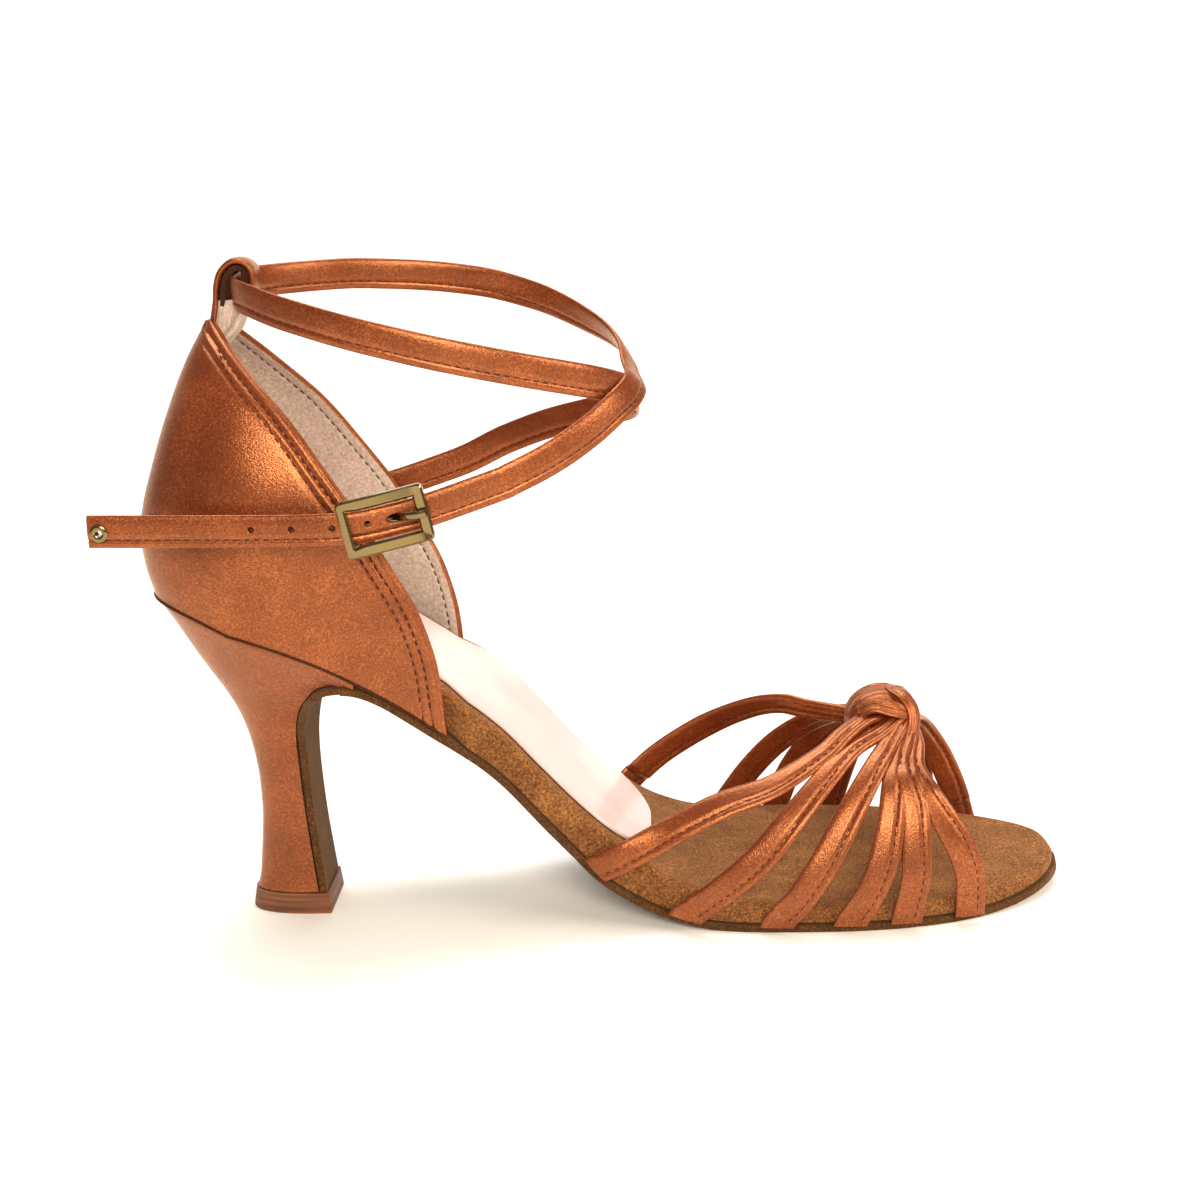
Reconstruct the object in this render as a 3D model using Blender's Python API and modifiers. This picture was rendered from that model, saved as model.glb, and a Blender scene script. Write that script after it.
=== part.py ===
# A right ballroom sandal: closed back, twelve toe straps, a knot, an ankle band and a flared heel.
# X runs to the toe, Y to the inner side of the foot and Z up. The middle of the heel tip is at 0, 0, 0.

import math

import bmesh
import bpy
import numpy as np

MM = 0.001

# Driving sizes, in millimetres.
LENGTH = 220.0  # plan length of the sole, from the back of the seat to the toe
BALL = 76.0  # width that the plan shares below are counted in
SEAT_RISE = 80.0  # height of the back of the seat above the floor
QUARTER_RISE = 66.6  # height of the closed back above the seat
SET_BACK = 0.1227 * LENGTH  # from the back of the seat to the middle of the heel tip

SOLE_THICK = 1.8
GAP = 0.3
WALL = 2.0
STRAP_WIDE = 7.0
STRAP_THICK = 1.5
BAND_WIDE = 7.4
BAND_THICK = 1.6
TIP_HIGH = 0.0675 * SEAT_RISE
INSET = 3.4  # bare edge of the board beside the sock

SEAM_START = 0.0118 * LENGTH  # back and front end of the lower edge of the quarter
SEAM_END = 0.325 * LENGTH
SEAM_DROP = 0.3675 * SEAT_RISE
SEAM_POWER = 1.9
SEAM_LIFT = 4.2  # how far the seam curves up round the back of the seat
SEAM_LIFT_LONG = 0.109 * LENGTH

# Half widths of the sole outline: x share of LENGTH, outer side and inner side as shares of BALL.
OUTLINE = (
    ("x", "outer", "inner"),
    (0.159, 0.342, 0.342),
    (0.255, 0.328, 0.325),
    (0.318, 0.317, 0.311),
    (0.386, 0.308, 0.304),
    (0.432, 0.308, 0.318),
    (0.477, 0.314, 0.345),
    (0.523, 0.320, 0.381),
    (0.568, 0.338, 0.432),
    (0.614, 0.360, 0.475),
    (0.659, 0.378, 0.502),
    (0.705, 0.388, 0.510),
    (0.750, 0.392, 0.510),
    (1.000, 0.392, 0.510),
)
TOE_OUTER = 0.745  # where the round of the toe starts on each side, share of LENGTH
TOE_INNER = 0.685

# Underside of the sole, from the heel tip up the breast and on to the toe: x share of LENGTH,
# z share of SEAT_RISE.
UNDERSIDE = (
    ("x", "z"),
    (0.1675, 0.073),
    (0.1655, 0.150),
    (0.1630, 0.250),
    (0.1610, 0.375),
    (0.1605, 0.475),
    (0.1615, 0.563),
    (0.1650, 0.628),
    (0.1725, 0.684),
    (0.1830, 0.722),
    (0.1980, 0.758),
    (0.2160, 0.773),
    (0.2360, 0.766),
    (0.2600, 0.734),
    (0.2860, 0.683),
    (0.3110, 0.631),
    (0.3364, 0.580),
    (0.3614, 0.525),
    (0.3841, 0.463),
    (0.4068, 0.388),
    (0.4295, 0.310),
    (0.4523, 0.235),
    (0.4750, 0.163),
    (0.4977, 0.113),
    (0.5227, 0.070),
    (0.5500, 0.035),
    (0.5820, 0.011),
    (0.6180, 0.000),
    (0.6800, 0.000),
    (0.7700, 0.000),
    (0.8600, 0.000),
    (0.9100, 0.006),
    (0.9500, 0.019),
    (0.9800, 0.034),
    (1.0000, 0.046),
)
# Half width of the sole piece on the heel breast: z share of SEAT_RISE, half width share of BALL.
FLAP = (
    ("z", "half"),
    (0.073, 0.106),
    (0.250, 0.099),
    (0.475, 0.103),
    (0.563, 0.120),
    (0.628, 0.150),
    (0.684, 0.195),
    (0.722, 0.240),
    (0.758, 0.285),
    (0.773, 0.318),
)
# Top of the insole board: x share of LENGTH, z share of SEAT_RISE.
BOARD_TOP = (
    ("x", "z"),
    (0.000, 1.072),
    (0.050, 1.064),
    (0.091, 1.047),
    (0.136, 1.020),
    (0.182, 0.982),
    (0.227, 0.930),
    (0.257, 0.891),
    (0.293, 0.829),
    (0.332, 0.753),
    (0.352, 0.709),
    (0.384, 0.628),
    (0.419, 0.515),
    (0.456, 0.394),
    (0.491, 0.300),
    (0.520, 0.229),
    (0.550, 0.172),
    (0.586, 0.125),
    (0.627, 0.095),
    (0.682, 0.080),
    (0.773, 0.074),
    (0.864, 0.076),
    (0.932, 0.084),
    (1.000, 0.106),
)
# Heel block sections: back point as shares of LENGTH and SEAT_RISE, place of the front point up the breast,
# half width as a share of BALL, roundness of the back, how late the section falls away to the front, and the
# share of the seam's lift that it follows.
HEEL = (
    ("x", "z", "front", "half", "round", "fall", "lift"),
    (0.0823, 0.0725, 0.000, 0.106, 2.3, 1.0, 0.0),
    (0.0864, 0.1125, 0.045, 0.103, 2.3, 1.0, 0.0),
    (0.0900, 0.1750, 0.120, 0.102, 2.3, 1.0, 0.0),
    (0.0936, 0.2500, 0.200, 0.102, 2.3, 1.0, 0.0),
    (0.0968, 0.3375, 0.300, 0.103, 2.3, 1.0, 0.0),
    (0.0972, 0.4250, 0.400, 0.106, 2.3, 1.0, 0.0),
    (0.0955, 0.5000, 0.480, 0.113, 2.3, 1.0, 0.0),
    (0.0915, 0.5750, 0.560, 0.126, 2.3, 1.0, 0.0),
    (0.0845, 0.6500, 0.640, 0.149, 2.3, 1.0, 0.0),
    (0.0735, 0.7250, 0.720, 0.182, 2.4, 1.1, 0.0),
    (0.0580, 0.8000, 0.790, 0.224, 2.4, 1.2, 0.1),
    (0.0415, 0.8750, 0.860, 0.268, 2.4, 1.4, 0.3),
    (0.0265, 0.9450, 0.930, 0.310, 2.5, 1.7, 0.6),
    (0.0165, 0.9800, 1.000, 0.338, 2.5, 1.9, 0.85),
)
# Heel tip sections: height as a share of TIP_HIGH, back and front as shares of LENGTH, half width of BALL.
HEEL_TIP = (
    (0.0, 0.0768, 0.1705, 0.1092),
    (0.1, 0.0755, 0.1714, 0.1118),
    (1.0, 0.0800, 0.1695, 0.1105),
)
# Quarter rows: height of the back point as a share of QUARTER_RISE and its x as a share of LENGTH, the front
# edge as shares of LENGTH and SEAT_RISE, half width as a share of BALL, narrowing to the front, length of the
# round at the back as a share of LENGTH.
QUARTER = (
    ("rise", "back", "front", "low", "half", "narrow", "bend"),
    (0.000, 0.0118, 0.3250, 0.638, 0.345, 0.070, 0.159),
    (0.125, 0.0050, 0.3218, 0.825, 0.352, 0.060, 0.159),
    (0.250, 0.0030, 0.3080, 1.000, 0.358, 0.040, 0.159),
    (0.375, 0.0110, 0.2827, 1.150, 0.358, 0.020, 0.155),
    (0.500, 0.0235, 0.2568, 1.288, 0.350, 0.000, 0.150),
    (0.625, 0.0375, 0.2240, 1.431, 0.326, 0.000, 0.141),
    (0.750, 0.0535, 0.1886, 1.575, 0.284, 0.000, 0.118),
    (0.875, 0.0720, 0.1455, 1.712, 0.208, 0.000, 0.072),
    (1.000, 0.0955, 0.1080, 1.836, 0.085, 0.000, 0.013),
)
# Toe straps, from the sole edge to the knot: x share of LENGTH, y share of BALL, z share of SEAT_RISE.
OUTER_STRAPS = (
    (
        (0.452, -0.310, 0.150),
        (0.472, -0.320, 0.195),
        (0.504, -0.329, 0.235),
        (0.563, -0.322, 0.321),
        (0.615, -0.309, 0.386),
        (0.669, -0.289, 0.430),
        (0.726, -0.208, 0.495),
        (0.774, -0.070, 0.532),
    ),
    (
        (0.552, -0.322, 0.000),
        (0.571, -0.342, 0.050),
        (0.605, -0.374, 0.130),
        (0.649, -0.381, 0.235),
        (0.688, -0.347, 0.349),
        (0.725, -0.279, 0.444),
        (0.757, -0.196, 0.501),
        (0.790, -0.105, 0.525),
    ),
    (
        (0.662, -0.372, 0.000),
        (0.673, -0.384, 0.052),
        (0.691, -0.404, 0.114),
        (0.716, -0.397, 0.215),
        (0.744, -0.356, 0.339),
        (0.765, -0.303, 0.420),
        (0.783, -0.242, 0.474),
        (0.800, -0.120, 0.515),
    ),
    (
        (0.740, -0.386, 0.000),
        (0.749, -0.394, 0.048),
        (0.764, -0.411, 0.122),
        (0.780, -0.397, 0.225),
        (0.791, -0.354, 0.342),
        (0.797, -0.297, 0.423),
        (0.807, -0.205, 0.480),
        (0.814, -0.105, 0.508),
    ),
    (
        (0.803, -0.378, 0.000),
        (0.806, -0.386, 0.048),
        (0.814, -0.400, 0.164),
        (0.816, -0.377, 0.274),
        (0.817, -0.336, 0.367),
        (0.812, -0.276, 0.440),
        (0.815, -0.190, 0.475),
        (0.818, -0.092, 0.497),
    ),
    (
        (0.874, -0.330, 0.000),
        (0.874, -0.340, 0.045),
        (0.874, -0.356, 0.148),
        (0.864, -0.355, 0.240),
        (0.847, -0.337, 0.330),
        (0.832, -0.305, 0.400),
        (0.822, -0.230, 0.452),
        (0.822, -0.105, 0.485),
    ),
)
INNER_STRAPS = (
    (
        (0.484, 0.349, 0.105),
        (0.500, 0.362, 0.180),
        (0.520, 0.378, 0.240),
        (0.555, 0.388, 0.319),
        (0.609, 0.353, 0.418),
        (0.658, 0.276, 0.494),
        (0.693, 0.210, 0.525),
        (0.725, 0.158, 0.520),
        (0.800, 0.020, 0.520),
    ),
    (
        (0.612, 0.470, 0.000),
        (0.624, 0.483, 0.060),
        (0.640, 0.500, 0.125),
        (0.665, 0.500, 0.214),
        (0.694, 0.472, 0.304),
        (0.728, 0.420, 0.385),
        (0.759, 0.316, 0.450),
        (0.782, 0.184, 0.500),
        (0.800, 0.066, 0.519),
    ),
    (
        (0.686, 0.507, 0.000),
        (0.691, 0.509, 0.050),
        (0.706, 0.512, 0.160),
        (0.725, 0.492, 0.255),
        (0.747, 0.451, 0.336),
        (0.775, 0.335, 0.438),
        (0.795, 0.184, 0.494),
        (0.809, 0.066, 0.512),
    ),
    (
        (0.757, 0.503, 0.000),
        (0.759, 0.507, 0.050),
        (0.770, 0.512, 0.150),
        (0.784, 0.480, 0.275),
        (0.798, 0.388, 0.388),
        (0.809, 0.250, 0.469),
        (0.816, 0.105, 0.500),
    ),
    (
        (0.866, 0.418, 0.000),
        (0.867, 0.424, 0.045),
        (0.868, 0.430, 0.150),
        (0.861, 0.401, 0.275),
        (0.850, 0.322, 0.388),
        (0.836, 0.197, 0.463),
        (0.827, 0.079, 0.494),
    ),
    (
        (0.916, 0.340, 0.000),
        (0.914, 0.350, 0.045),
        (0.903, 0.368, 0.160),
        (0.886, 0.358, 0.275),
        (0.864, 0.296, 0.388),
        (0.846, 0.178, 0.463),
        (0.834, 0.066, 0.494),
    ),
)
# The two folds of the knot: x share of LENGTH, y share of BALL, z share of SEAT_RISE, half height, half width.
KNOT_FOLDS = (
    (
        (0.812, 0.132, 0.485, 2.6, 4.0),
        (0.805, 0.092, 0.548, 3.0, 4.6),
        (0.793, 0.005, 0.578, 3.2, 5.0),
        (0.784, -0.072, 0.540, 3.2, 5.0),
        (0.792, -0.128, 0.490, 3.0, 4.6),
        (0.812, -0.112, 0.470, 2.6, 4.0),
    ),
    (
        (0.810, -0.160, 0.445, 2.3, 3.4),
        (0.821, -0.140, 0.490, 2.4, 3.6),
        (0.826, -0.060, 0.540, 2.5, 3.6),
        (0.818, 0.030, 0.568, 2.5, 3.6),
        (0.808, 0.100, 0.535, 2.4, 3.4),
        (0.802, 0.150, 0.470, 2.3, 3.2),
    ),
)
# The ankle band, as two turns of an oval round the ankle: turn in degrees from the front to the outer side,
# height as a share of SEAT_RISE, distance outside the oval in millimetres, lean of the band's top to the foot
# in degrees.
RING_MIDDLE = 0.334  # share of LENGTH
RING_LONG = 0.20636 * LENGTH
RING_WIDE = 0.37368 * BALL
BAND = (
    ("turn", "high", "out", "lean"),
    (-119.0, 1.245, 3.8, 0.0),
    (-109.0, 1.270, 1.6, 0.0),
    (-98.0, 1.302, 0.5, 0.0),
    (-88.0, 1.334, 0.1, 0.0),
    (-74.0, 1.395, 0.0, 0.0),
    (-57.0, 1.448, 0.0, 0.0),
    (-42.0, 1.478, 0.0, 4.0),
    (-20.0, 1.512, 0.2, 8.0),
    (0.0, 1.552, 0.3, 6.0),
    (30.0, 1.612, 0.2, 2.0),
    (60.0, 1.675, 0.0, 0.0),
    (82.0, 1.729, 0.0, 0.0),
    (103.0, 1.785, 0.0, 0.0),
    (131.0, 1.868, 0.0, 0.0),
    (155.0, 1.924, 0.0, 0.0),
    (180.0, 1.928, 0.0, 0.0),
    (205.0, 1.936, 0.0, 0.0),
    (235.0, 1.934, 0.0, 0.0),
    (257.0, 1.920, 0.0, 2.0),
    (280.0, 1.888, 0.0, 8.0),
    (299.0, 1.838, -0.3, 16.0),
    (322.0, 1.760, -0.8, 26.0),
    (345.0, 1.692, -1.0, 36.0),
    (360.0, 1.648, -0.8, 38.0),
    (368.0, 1.622, 0.5, 37.0),
    (375.0, 1.606, 2.0, 32.0),
    (382.0, 1.583, 2.6, 24.0),
    (390.0, 1.556, 2.8, 16.0),
    (402.0, 1.500, 2.6, 8.0),
    (416.0, 1.436, 2.3, 3.0),
    (431.0, 1.378, 2.2, 0.0),
)
# The end of the band beyond the oval: x share of LENGTH, y share of BALL, z share of SEAT_RISE.
TONGUE = (
    (0.3370, -0.4030, 1.3240),
    (0.3000, -0.4120, 1.3010),
    (0.2640, -0.4300, 1.2860),
    (0.2360, -0.4350, 1.2820),
    (0.1900, -0.4290, 1.2830),
    (0.1200, -0.4220, 1.2890),
    (0.0500, -0.4180, 1.2970),
    (-0.0110, -0.4150, 1.3040),
)
# Path of the loop at the top of the back: x share of LENGTH, z share of SEAT_RISE, bend across in 1/mm.
LOOP = (
    ("x", "z", "bend"),
    (0.0890, 1.736, 0.045),
    (0.1030, 1.792, 0.045),
    (0.1112, 1.840, 0.040),
    (0.1105, 1.888, 0.020),
    (0.1105, 1.931, 0.006),
    (0.1165, 1.970, 0.000),
    (0.1280, 1.996, 0.000),
    (0.1410, 2.000, 0.000),
    (0.1510, 1.978, 0.000),
    (0.1515, 1.931, 0.000),
    (0.1445, 1.888, 0.006),
    (0.1340, 1.846, 0.025),
    (0.1225, 1.808, 0.040),
    (0.1100, 1.775, 0.045),
    (0.0965, 1.723, 0.045),
)
LOOP_WIDE = 8.0
LOOP_THICK = 1.5

# Buckle, in millimetres from its own middle: along the band, away from the foot.
BUCKLE_LONG = 17.4
BUCKLE_HIGH = 10.8
BUCKLE_BAR = 1.0
BUCKLE_CORNER = 1.3
BUCKLE_AT = (0.2895 * LENGTH, 1.3013 * SEAT_RISE)
BUCKLE_TILT = 10.8
FRAME_REAR_OUT = 0.4605 * BALL
FRAME_FRONT_OUT = 0.4355 * BALL
# The hinge bar behind the band, which the tab and the prong go round, and its two posts.
HINGE_OUT = 0.3882 * BALL
HINGE_BAR = 0.95
HINGE_POST = 0.8
HINGE_BEND = 1.2
EYELET_AT = (0.0009 * LENGTH, 0.4151 * BALL, 1.3 * SEAT_RISE)
PRONG_HOLE_AT = (0.2995 * LENGTH, 1.3058 * SEAT_RISE)
# Line of the prong beyond its hook: along the band, away from the foot.
PRONG = ((-4.8, -0.9), (-0.8, -0.5), (2.0, 1.4), (4.4, 4.2), (6.6, 5.6), (9.3, 5.7))
TAB_THICK = 1.1
TAB_WIDE = 5.6

SATIN = (0.45, 0.16, 0.06)
SUEDE = (0.21, 0.12, 0.05)


def columns(table):
    """One array for each named column of a table."""
    rows = np.array(table[1:], float)
    return {name: rows[:, k] for k, name in enumerate(table[0])}


def through(t, values, at):
    """Smooth line through the values: cubic pieces whose slopes never overshoot."""
    t = np.asarray(t, float)
    values = np.asarray(values, float)
    steps = np.diff(t)
    rise = np.diff(values) / steps
    slope = np.zeros(len(t))
    same = rise[:-1] * rise[1:] > 0
    w1 = 2 * steps[1:] + steps[:-1]
    w2 = steps[1:] + 2 * steps[:-1]
    inner = (w1 + w2) / (w1 / np.where(same, rise[:-1], 1) + w2 / np.where(same, rise[1:], 1))
    slope[1:-1] = np.where(same, inner, 0)
    slope[0] = rise[0]
    slope[-1] = rise[-1]
    at = np.clip(np.asarray(at, float), t[0], t[-1])
    k = np.clip(np.searchsorted(t, at, side="right") - 1, 0, len(t) - 2)
    h = steps[k]
    u = (at - t[k]) / h
    a = (1 + 2 * u) * (1 - u) ** 2 * values[k] + u * (1 - u) ** 2 * h * slope[k]
    return a + u**2 * (3 - 2 * u) * values[k + 1] + u**2 * (u - 1) * h * slope[k + 1]


def path(points, count):
    """Evenly spaced points on a smooth path through the given ones, which are in millimetres."""
    points = np.asarray(points, float)
    ends = np.vstack([2 * points[0] - points[1], points, 2 * points[-1] - points[-2]])
    fine = []
    for k in range(len(points) - 1):
        p0, p1, p2, p3 = ends[k : k + 4]
        u = np.linspace(0, 1, 24, endpoint=False)[:, None]
        fine.append(0.5 * (2 * p1 + (p2 - p0) * u + (2 * p0 - 5 * p1 + 4 * p2 - p3) * u**2
                           + (3 * p1 - p0 - 3 * p2 + p3) * u**3))
    fine = np.vstack(fine + [points[-1:]])
    run = np.r_[0, np.cumsum(np.linalg.norm(np.diff(fine[:, :3], axis=0), axis=1))]
    at = np.linspace(0, run[-1], count)
    return np.column_stack([np.interp(at, run, fine[:, c]) for c in range(fine.shape[1])])


def round_end(u, power=2.0):
    """Share of the full width at u = 0 for the widest place and u = 1 for the end of a rounded outline."""
    return (1 - np.clip(u, 0, 1) ** power) ** (1 / power)


def outline(x):
    """Half widths of the sole at x from the back of the seat, outer side and inner side."""
    table = columns(OUTLINE)
    at = np.asarray(x, float) / LENGTH
    outer = through(table["x"], table["outer"], at) * BALL
    inner = through(table["x"], table["inner"], at) * BALL
    outer = outer * round_end((at - TOE_OUTER) / (1 - TOE_OUTER))
    inner = inner * round_end((at - TOE_INNER) / (1 - TOE_INNER))
    seat = round_end(1 - at / 0.159, 2.5)
    return outer * seat, inner * seat


def seam(x):
    """Height of the line where the quarter meets the heel and the sole."""
    share = np.clip((np.asarray(x, float) - SEAM_START) / (SEAM_END - SEAM_START), 0, 1.2)
    return SEAT_RISE + 0.4 - SEAM_DROP * share**SEAM_POWER + seam_lift(x)


def seam_lift(x):
    """Extra height of the seam round the back of the seat."""
    return SEAM_LIFT * (1 - np.clip(np.asarray(x, float) / SEAM_LIFT_LONG, 0, 1) ** 1.5)


def sole_line(lift, count=160):
    """Line at a height above the underside of the sole, from the heel tip to the toe, as x and z."""
    table = columns(UNDERSIDE)
    line = path(np.column_stack([table["x"] * LENGTH, table["z"] * SEAT_RISE]), count)
    along = np.gradient(line, axis=0)
    along /= np.linalg.norm(along, axis=1)[:, None]
    return line + lift * np.column_stack([-along[:, 1], along[:, 0]])


def sole_top(x, lift):
    """Height of the sole line with that lift at x, ahead of the heel breast."""
    line = sole_line(lift, 400)
    start = int(np.argmax(line[:, 1])) - 6
    return np.interp(x, line[start:, 0], line[start:, 1])


def material(name, colour, metallic, roughness):
    found = bpy.data.materials.new(name)
    found.use_nodes = True
    shader = found.node_tree.nodes["Principled BSDF"]
    shader.inputs["Base Color"].default_value = (*colour, 1)
    shader.inputs["Metallic"].default_value = metallic
    shader.inputs["Roughness"].default_value = roughness
    return found


def add(name, corners, faces, look, where):
    """A mesh object from corners in millimetres, x counted from the back of the seat."""
    corners = np.asarray(corners, float) - np.array([SET_BACK, 0, 0])
    mesh = bpy.data.meshes.new(name)
    mesh.from_pydata((corners * MM).tolist(), [], faces)
    body = bmesh.new()
    body.from_mesh(mesh)
    bmesh.ops.recalc_face_normals(body, faces=body.faces)
    body.to_mesh(mesh)
    body.free()
    mesh.materials.append(look)
    found = bpy.data.objects.new(name, mesh)
    where.objects.link(found)
    return found


def loft(name, rings, look, where, strips=False):
    """A closed body through rings of equal count, with one face on each end, or strips across a curved end."""
    rings = np.asarray(rings, float)
    count = rings.shape[1]
    last = (len(rings) - 1) * count
    faces = [list(range(count))[::-1], [last + k for k in range(count)]]
    if strips:
        faces = []
        for k in range(count // 2):
            edge = [k, k + 1, count - 2 - k, count - 1 - k]
            edge = edge[:2] + edge[3:] if edge[1] == edge[2] else edge
            faces += [edge[::-1], [last + j for j in edge]]
    for i in range(len(rings) - 1):
        for k in range(count):
            a = i * count + k
            b = i * count + (k + 1) % count
            faces.append([a, b, b + count, a + count])
    return add(name, rings.reshape(-1, 3), faces, look, where)


def closed_sweep(name, rings, look, where):
    """A ring-shaped body: the last section joins the first."""
    rings = np.asarray(rings, float)
    total, count = rings.shape[:2]
    faces = []
    for i in range(total):
        j = (i + 1) % total
        for k in range(count):
            m = (k + 1) % count
            faces.append([i * count + k, i * count + m, j * count + m, j * count + k])
    return add(name, rings.reshape(-1, 3), faces, look, where)


def slab_ring(x, z, lean, low, high, outer, inner, soft):
    """Section of a flat piece: across Y, and between two heights along the leaning direction."""
    soft = min(soft, 0.45 * (high - low))
    side = [(-outer + soft, low), (inner - soft, low), (inner, low + soft), (inner, high - soft)]
    side += [(inner - soft, high), (-outer + soft, high), (-outer, high - soft), (-outer, low + soft)]
    return [(x + h * lean[0], y, z + h * lean[1]) for y, h in side]


def sweep(points, outs, wides, thicks):
    """Sections of a strip along points: flat, outs is the direction away from the foot."""
    points = np.asarray(points, float)
    along = np.gradient(points, axis=0)
    along /= np.linalg.norm(along, axis=1)[:, None]
    rings = []
    for p, t, o, wide, thick in zip(points, along, outs, wides, thicks):
        o = o - t * np.dot(o, t)
        o = o / np.linalg.norm(o)
        across = np.cross(t, o)
        soft = 0.3 * thick
        half = wide / 2
        shape = [(-half + soft, -thick / 2), (half - soft, -thick / 2), (half, 0), (half - soft, thick / 2)]
        shape += [(-half + soft, thick / 2), (-half, 0)]
        rings.append([p + across * a + o * b for a, b in shape])
    return rings


def tube(points, radii, count=10):
    """Sections of a rounded bundle: radii are half height and half width at each point."""
    points = np.asarray(points, float)
    along = np.gradient(points, axis=0)
    along /= np.linalg.norm(along, axis=1)[:, None]
    middle = points.mean(axis=0) - np.array([0, 0, 4])
    rings = []
    for p, t, (high, wide) in zip(points, along, radii):
        o = p - middle
        o = o - t * np.dot(o, t)
        o = o / np.linalg.norm(o)
        across = np.cross(t, o)
        turn = np.linspace(0, 2 * math.pi, count, endpoint=False)
        rings.append([p + across * wide * math.cos(a) + o * high * math.sin(a) for a in turn])
    return rings


def join(target, tools, operation):
    """Boolean modifiers on the target, one for each tool object."""
    for tool in tools:
        step = target.modifiers.new(operation.lower(), "BOOLEAN")
        step.operation = operation
        step.solver = "EXACT"
        step.use_self = True
        step.object = tool


def outsole(look, where, name="outsole", low=0.0, high=SOLE_THICK, grow=0.0, count=54):
    """The sole sheet, thick along its own normal. The cutter for the strap ends is the same sheet, thicker."""
    table = columns(UNDERSIDE)
    line = path(np.column_stack([table["x"] * LENGTH, table["z"] * SEAT_RISE]), 600)
    along = np.gradient(line, axis=0)
    along /= np.linalg.norm(along, axis=1)[:, None]
    flap = columns(FLAP)
    top = int(np.argmax(line[:, 1]))
    share = np.linspace(0, 1, count)
    pick = np.unique(np.round(599 * (share + 0.10 * np.sin(math.pi * share) * share)).astype(int).clip(0, 598))
    rings = []
    for k in pick:
        x, z = line[k]
        outer, inner = outline(x)
        if k < top:
            half = through(flap["z"], flap["half"], z / SEAT_RISE) * BALL
            outer = min(outer, half)
            inner = min(inner, half)
        outer = max(float(outer) + grow, 1.2)
        inner = max(float(inner) + grow, 1.2)
        rings.append(slab_ring(x, z, (-along[k, 1], along[k, 0]), low, high, outer, inner, 0.3))
    return loft(name, rings, look, where)


def board_sides(x):
    """Half widths of the insole board: inside the quarter, flush in the arch and set in for the straps."""
    toe = 2.4 * np.clip(x / LENGTH - 0.75, 0, 0.25) / 0.238
    outer, inner = outline(np.clip(x + toe, 0.16 * LENGTH, LENGTH))
    seat = 1 - np.clip((x - SEAM_END) / 5, 0, 1)
    fore = np.clip((x / LENGTH - 0.418) / 0.036, 0, 1)
    inset = 0.2 + seat * (WALL + GAP + 1.1) + fore * (1 - toe / 2.4)
    back = round_end(1 - (x / LENGTH - 0.02) / 0.132, 2.4)
    return max((float(outer) - inset) * back, 0.8), max((float(inner) - inset) * back, 0.8)


def insole(look, where):
    table = columns(BOARD_TOP)
    back = 0.0236 * LENGTH
    front = LENGTH - 2.5
    share = np.linspace(0, 1, 44)
    xs = back + (front - back) * (0.5 - 0.5 * np.cos(math.pi * (0.25 * share**3 + 0.75 * share)))
    xs = np.clip(xs, back, front)
    rings = []
    for x in xs:
        top = float(through(table["x"], table["z"], x / LENGTH) * SEAT_RISE)
        low = float(seam(x)) if x < SEAM_END else 0.0
        if x > 0.209 * LENGTH:
            low = max(low, float(sole_top(x, SOLE_THICK + GAP)))
        outer, inner = board_sides(x)
        soft = min(2.4, 0.4 * (top - low))
        rings.append([
            (x, -outer + 0.6, low),
            (x, inner - 0.6, low),
            (x, inner, low + 0.7),
            (x, inner, top - soft),
            (x, inner - 0.35 * soft, top - 0.35 * soft),
            (x, inner - soft, top),
            (x, -outer + soft, top),
            (x, -outer + 0.35 * soft, top - 0.35 * soft),
            (x, -outer, top - soft),
            (x, -outer, low + 0.7),
        ])
    return loft("insole", rings, look, where)


def sock(look, where):
    """A thin pad above the board, from the seat to the ball, with a rounded front."""
    table = columns(BOARD_TOP)
    back = 0.0273 * LENGTH
    front = 0.5341 * LENGTH
    round_long = 0.055 * LENGTH
    share = np.linspace(0, 1, 30)
    rings = []
    for s in share:
        x = back + (front - back) * (0.5 - 0.5 * math.cos(math.pi * s))
        top = through(table["x"], table["z"], np.array([x - 1, x, x + 1]) / LENGTH) * SEAT_RISE
        slope = float(top[2] - top[0]) / 2
        lean = np.array([-slope, 1.0]) / math.hypot(slope, 1)
        outer, inner = board_sides(x)
        end = round_end((x - front + round_long) / (round_long + 0.6), 2.2)
        heel = round_end(1 - (x / LENGTH - 0.018) / 0.118, 2.4)
        outer = max((outer - INSET) * end * heel, 1.0)
        inner = max((inner - INSET) * end * heel, 1.0)
        rings.append(slab_ring(x, float(top[1]), lean, GAP, 1.4, outer, inner, 0.3))
    return loft("sock", rings, look, where)


def heel(look, where):
    """The block: sections that are level at the tip and follow the seam at the seat."""
    breast = sole_line(SOLE_THICK + GAP, 400)
    stop = int(np.argmax((breast[:, 0] > 0.232 * LENGTH) & (breast[:, 1] > 0.5 * SEAT_RISE)))
    breast = breast[: stop + 1]
    run = np.r_[0, np.cumsum(np.linalg.norm(np.diff(breast, axis=0), axis=1))]
    table = columns(HEEL)
    rings = []
    half_count = 14
    turn = np.linspace(-1, 1, 2 * half_count - 1)
    for k in range(len(table["x"])):
        at = table["front"][k] * run[-1]
        fx = float(np.interp(at, run, breast[:, 0]))
        fz = float(np.interp(at, run, breast[:, 1]))
        fz = max(fz, table["z"][0] * SEAT_RISE)
        bx = table["x"][k] * LENGTH
        bz = table["z"][k] * SEAT_RISE
        half = table["half"][k] * BALL
        shape = (half, table["round"][k], table["fall"][k], table["lift"][k])
        rings.append(heel_ring(bx, bz, fx, fz, shape, turn))
    low = SEAT_RISE + 0.4 - GAP
    front = float(breast[-1, 0]) + 0.4
    shape = (0.342 * BALL, 2.5, SEAM_POWER, 1.0)
    rings.append(heel_ring(SEAM_START, low, front, float(seam(front)) - GAP, shape, turn))
    return loft("heel", rings, look, where, strips=True)


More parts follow.
